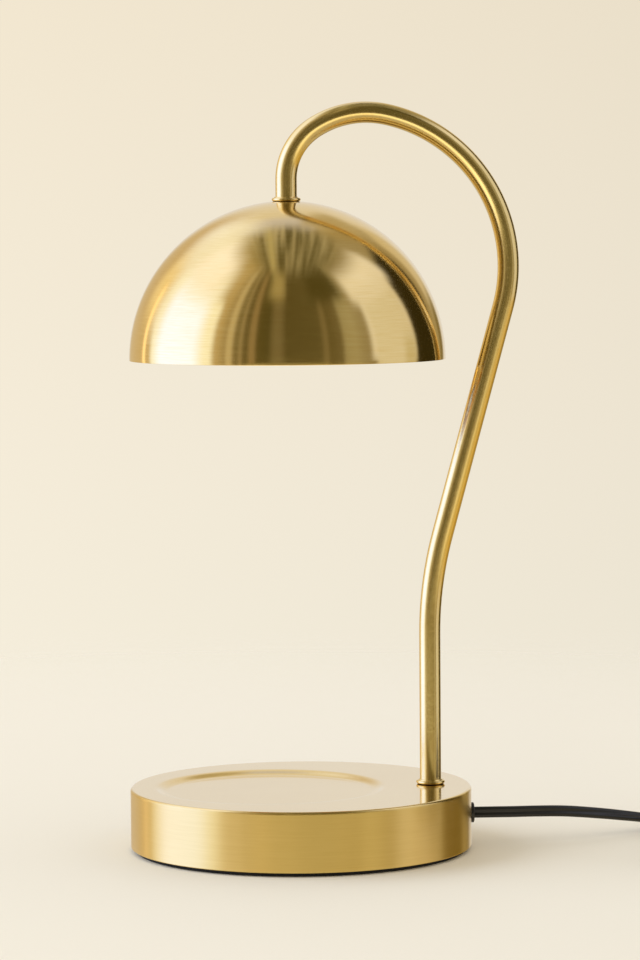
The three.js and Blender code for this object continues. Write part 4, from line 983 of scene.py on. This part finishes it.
# CAD pieces whose shape is right: inside the base, the stem, the shade and the dimmer
keptLooks = {
    "steel": ["base_bottom_plate", "plate_screw_1", "plate_screw_2", "plate_screw_3", "foot_washer", "foot_nut",
              "neck_washer", "neck_nut", "socket_bracket", "holder_screw_1", "holder_screw_2", "dimmer_pot",
              "dimmer_shaft", "dimmer_screw_1", "dimmer_screw_2"],
    "iron": ["base_weight"],
    "ceramic": ["lampholder", "splice_cap_1", "splice_cap_2"],
    "contact": ["socket_contact_1", "socket_contact_2"],
    "jacket": ["cord_tail"],
    "sleeve": ["stem_lead_1", "stem_lead_2"],
    "board": ["dimmer_board"],
    "plastic": ["dimmer_triac"],
}
for look, names in keptLooks.items():
    for name in names:
        nodes[name].data.materials.clear()
        nodes[name].data.materials.append(looks[look])

# Floor, daylight and surroundings
studio = {
    "floorRings": (1.1, 0.5, 0.1), "floorSegments": 96, "floorDrop": 0.0001, "floorColor": (0.89, 0.84, 0.72),
    "floorMiddle": 0.12, "floorFade": (0.32, 0.88), "floorPaintedLight": 0.022, "tintReach": 0.17, "speckle": 0.985,
    "backLow": (0.88, 0.82, 0.685), "backMiddle": (0.88, 0.807, 0.665), "backHigh": (0.86, 0.77, 0.61),
    "backFrom": -0.2, "backTo": 0.06, "backdropPaintedLight": 0.035, "sideReach": 0.085,
    "windowHeight": 26, "windowSpread": 60, "windowStrength": 1.8, "windowColor": (0.80, 0.93, 1.17),
    "ambient": (0.85, 0.80, 0.72),
}


def softStep(tree, value, edge, softness):
    return mapRange(tree, value, edge - softness, edge + softness, 0, 1, interpolation_type="SMOOTHSTEP")


def softBelow(tree, value, edge, softness):
    return mathNode(tree, "SUBTRACT", 1.0, softStep(tree, value, edge, softness))


def softBetween(tree, value, start, end, softness):
    return multiply(tree, softStep(tree, value, start, softness), softBelow(tree, value, end, softness))


def paintedLightFromLeft(tree, color, across, reach, tint):
    # Painted light: a touch paler on the window's side and a touch darker on the far side
    share = mapRange(tree, across, -reach, reach, 1 + tint, 1 - tint)
    return addNode(tree, "VectorMath", {0: color, "Scale": share}, operation="SCALE").outputs[0]


def floorPiece():
    # A pale round table, just under the pad, that fades away into the backdrop
    angles = fullTurn(studio["floorSegments"])
    rings = [roundRing(angles, r, -studio["floorDrop"]) for r in studio["floorRings"]]
    floor = stackRings("floor", rings, capStart=False)
    if floor.data.polygons[0].normal.z < 0:  # its face looks up, its back is clear
        floor.data.flip_normals()
    material, tree, shader = startMaterial("paleTable", roughness=0.7, specular=0.2)
    place = objectPlace(tree)
    speckle = noiseNode(tree, place, 700, 3)
    darker = tuple(part * studio["speckle"] for part in studio["floorColor"])
    color = mixColors(tree, mapRange(tree, speckle, 0.3, 0.7, 0, 1), darker, studio["floorColor"])
    x, y, _ = splitVector(tree, place)
    # painted light: the floor's colour is paler towards the window and darker away from it
    color = paintedLightFromLeft(tree, color, x, studio["tintReach"], studio["floorPaintedLight"])
    tree.links.new(color, shader.inputs["Base Color"])
    away = distanceNode(tree, x, mathNode(tree, "SUBTRACT", y, studio["floorMiddle"]))
    near, far = studio["floorFade"]
    fade = softStep(tree, away, (near + far) / 2, (far - near) / 2)
    # metal mirrors the room's own table instead, and the floor is clear from underneath
    fade = mathNode(tree, "MAXIMUM", fade, addNode(tree, "LightPath").outputs["Is Glossy Ray"])
    fade = mathNode(tree, "MAXIMUM", fade, addNode(tree, "NewGeometry").outputs["Backfacing"])
    clear = addNode(tree, "BsdfTransparent")
    mix = addNode(tree, "MixShader", {0: fade, 1: shader.outputs[0], 2: clear.outputs[0]})
    tree.links.new(mix.outputs[0], tree.nodes["Material Output"].inputs[0])
    floor.data.materials.append(material)


def windowLight():
    # Daylight from the left; the room below is what metal mirrors, so this light stays out of reflections
    data = bpy.data.lights.new("windowLight", "SUN")
    data.energy = studio["windowStrength"]
    data.angle = math.radians(studio["windowSpread"])
    data.color = studio["windowColor"]
    lamp = bpy.data.objects.new("windowLight", data)
    scene.collection.objects.link(lamp)
    height, turn = math.radians(studio["windowHeight"]), cameraView["lampTurn"]
    source = Vector((-math.cos(height) * math.cos(turn), math.cos(height) * math.sin(turn), math.sin(height)))
    lamp.rotation_mode = "QUATERNION"
    lamp.rotation_quaternion = (-source).to_track_quat("-Z", "Y")
    lamp.visible_glossy = False


# What the metal mirrors, in degrees round from straight behind the lamp and up from the table. The room all
# round and the table top are rows of (degrees, colour), and each card in front of them is (from, to, low,
# high, edge softness, colour), later ones over earlier ones
room = {
    "round": [
        (-180, (0.115, 0.095, 0.04)), (-175, (0.20, 0.17, 0.10)), (-171, (0.20, 0.17, 0.10)),
        (-166, (0.10, 0.085, 0.03)), (-158, (0.115, 0.095, 0.035)), (-156, (0.32, 0.25, 0.15)),
        (-153, (0.32, 0.25, 0.15)), (-151, (0.13, 0.11, 0.045)), (-148, (0.17, 0.14, 0.07)),
        (-146, (0.42, 0.36, 0.25)), (-144, (0.20, 0.17, 0.09)), (-141, (0.24, 0.20, 0.11)),
        (-139, (0.60, 0.54, 0.42)), (-136, (0.62, 0.56, 0.44)), (-134, (0.38, 0.32, 0.20)),
        (-128, (0.55, 0.46, 0.30)), (112, (0.30, 0.26, 0.17)), (120, (0.33, 0.29, 0.20)),
        (128, (0.40, 0.37, 0.27)), (136, (0.38, 0.35, 0.25)), (139, (0.18, 0.15, 0.08)),
        (148, (0.14, 0.115, 0.05)), (151, (0.24, 0.20, 0.12)), (155, (0.13, 0.11, 0.05)),
        (180, (0.115, 0.095, 0.04)),
    ],
    "cards": [
        (-62, 23, -90, 60, 4, (0.80, 0.75, 0.67)),
        (-40, 26, 54, 74, 6, (0.64, 0.65, 0.86)),
        (20, 34, 8, 34, 4, (0.68, 0.58, 0.38)),
        (10, 34, 36, 62, 5, (0.52, 0.44, 0.28)),
        (34, 44, 8, 62, 4, (0.40, 0.32, 0.17)),
        (23, 32, -90, 9, 3, (0.24, 0.18, 0.06)),
        (32, 41, -90, 9, 3, (0.40, 0.32, 0.15)),
        (-64, -13, -90, 38, 7, (0.66, 0.53, 0.33)),
        (-64, -38, 12, 40, 7, (0.98, 0.84, 0.55)),
        (-54, -50, -14, 24, 2, (1.5, 1.2, 0.8)),
        (-118, -58, 8, 58, 8, (1.06, 1.14, 1.45)),
        (-106, -48, 40, 72, 11, (1.16, 1.22, 1.65)),
        (-62, -20, 34, 64, 11, (1.04, 1.10, 1.32)),
        (-124, -62, -14, 38, 3, (1.12, 1.22, 1.5)),
        (-112, -70, -14, 34, 7, (1.2, 1.5, 3.0)),
        (-178, -163, 46, 80, 6, (0.42, 0.37, 0.22)),
        (126, 158, 42, 80, 6, (0.09, 0.075, 0.025)),
        (41, 71, -40, 44, 2.5, (0.035, 0.027, 0.008)),
        (64, 120, 36, 57, 5, (0.90, 0.90, 1.05)),
        (72, 115, 0, 44, 3, (0.84, 0.84, 0.96)),
        (74, 111, -14, 34, 2.5, (0.76, 0.75, 0.78)),
        (72, 84, -14, 10, 4, (0.64, 0.60, 0.50)),
        (-190, -150, -90, -4, 3, (0.27, 0.23, 0.12)),
        (148, 190, -90, -4, 3, (0.27, 0.23, 0.12)),
    ],
    "table": [
        (-180, (1.54, 1.42, 1.08)), (-150, (1.84, 1.68, 1.36)), (-138, (1.32, 1.23, 1.14)),
        (-128, (1.3, 1.25, 1.3)), (-120, (1.05, 1.05, 1.1)), (-110, (1.3, 1.5, 2.5)), (-76, (1.45, 1.6, 2.7)),
        (-64, (1.0, 0.83, 0.2)), (-56, (0.7, 0.56, 0.25)), (-48, (0.52, 0.43, 0.3)), (-36, (0.68, 0.62, 0.54)),
        (-24, (0.7, 0.78, 0.9)), (0, (0.5, 0.45, 0.4)), (18, (0.15, 0.08, 0.0)), (40, (0.56, 0.38, 0.08)),
        (62, (0.5, 0.34, 0.08)), (70, (0.52, 0.37, 0.1)), (78, (0.6, 0.41, 0.12)), (88, (0.8, 0.57, 0.18)),
        (104, (0.64, 0.47, 0.15)), (116, (0.76, 0.61, 0.28)), (124, (1.0, 0.84, 0.48)),
        (140, (1.36, 1.2, 0.82)), (180, (1.54, 1.42, 1.08)),
    ],
    "tableEdge": (-12, 3), "belowFrom": (-29, 9), "below": (0.55, 0.47, 0.32),
    "ceilingFrom": (66, 8), "ceilingDark": (0.12, 0.105, 0.045), "ceilingPale": (0.50, 0.47, 0.38),
    "ceilingWindow": (0.46, 0.39, 0.22), "windowEdge": (-0.28, 0.14), "beams": 26, "beamContrast": (0.42, 0.62),
    "beamFade": (-0.75, 0.3, 0.25, 1), "longBeam": (0.54, 0.50, 0.33), "longBeamEdges": (-0.17, -0.11, 0.03),
}


def surroundings():
    world = bpy.data.worlds.new("studioRoom")
    scene.world = world
    world.use_nodes = True
    world.cycles.sampling_method = "NONE"  # reflections then see the room alone, with no even light mixed in
    tree = world.node_tree
    tree.nodes.clear()
    direction = addNode(tree, "TexCoord").outputs["Generated"]
    x, y, z = splitVector(tree, direction)
    cosTurn, sinTurn = math.cos(cameraView["lampTurn"]), math.sin(cameraView["lampTurn"])
    across = mathNode(tree, "SUBTRACT", multiply(tree, x, cosTurn), multiply(tree, y, sinTurn))
    ahead = mathNode(tree, "ADD", multiply(tree, x, sinTurn), multiply(tree, y, cosTurn))
    azimuth = mathNode(tree, "DEGREES", mathNode(tree, "ARCTAN2", across, ahead))
    height = mathNode(tree, "DEGREES", mathNode(tree, "ARCSINE", z))
    around = mapRange(tree, azimuth, -180, 180, 0, 1)
    color, table = (rampNode(tree, around, [(0.5 + degrees / 360, tone) for degrees, tone in room[level]])
                    for level in ("round", "table"))
    topSoftness = 1.5  # the top of a card is that many times softer than its sides
    for start, end, low, high, soft, tone in room["cards"]:
        mask = multiply(tree, softBetween(tree, azimuth, start, end, soft),
                        softBelow(tree, height, high, soft * topSoftness))
        if low > -90:
            mask = multiply(tree, mask, softStep(tree, height, low, soft))
        color = mixColors(tree, mask, color, tone)
    # the table top, mirrored by the side of the base, the foot of the stem and the underside of its arch
    table = mixColors(tree, softStep(tree, height, *room["belowFrom"]), room["below"], table)
    color = mixColors(tree, softStep(tree, height, *room["tableEdge"]), table, color)
    # beams that run overhead from front to back, palest towards the backdrop
    lift = mathNode(tree, "MAXIMUM", z, 0.05)
    sideways, onward = mathNode(tree, "DIVIDE", across, lift), mathNode(tree, "DIVIDE", ahead, lift)
    beamPlace = joinVector(tree, multiply(tree, sideways, room["beams"]), onward, 0.0)
    beams = mapRange(tree, noiseNode(tree, beamPlace, 1.0, 2), *room["beamContrast"], 0, 1)
    beams = multiply(tree, beams, mapRange(tree, onward, *room["beamFade"]))
    ceiling = mixColors(tree, beams, room["ceilingDark"], room["ceilingPale"])
    ceiling = mixColors(tree, softStep(tree, sideways, *room["windowEdge"]), room["ceilingWindow"], ceiling)
    longBeam = softBetween(tree, sideways, *room["longBeamEdges"])
    ceiling = mixColors(tree, longBeam, ceiling, room["longBeam"])
    shiny = mixColors(tree, softStep(tree, height, *room["ceilingFrom"]), color, ceiling)
    # what the camera sees behind the table
    backdrop = rampNode(tree, mapRange(tree, z, studio["backFrom"], studio["backTo"], 0, 1), [
        (0.0, studio["backLow"]), (0.3, studio["backLow"]), (0.55, studio["backMiddle"]),
        (1.0, studio["backHigh"])])
    # painted light: the backdrop is paler towards the window and darker away from it
    seen = paintedLightFromLeft(tree, backdrop, across, studio["sideReach"], studio["backdropPaintedLight"])
    light = addNode(tree, "LightPath").outputs
    notShiny = mixColors(tree, light["Is Camera Ray"], studio["ambient"], seen)
    glossy = mathNode(tree, "MAXIMUM", light["Is Glossy Ray"], light["Is Transmission Ray"])
    final = mixColors(tree, glossy, notShiny, shiny)
    background = addNode(tree, "Background", {"Color": final, "Strength": 1.0})
    output = addNode(tree, "OutputWorld")
    tree.links.new(background.outputs[0], output.inputs[0])


floorPiece()
windowLight()
surroundings()
print("stage: studio lit")
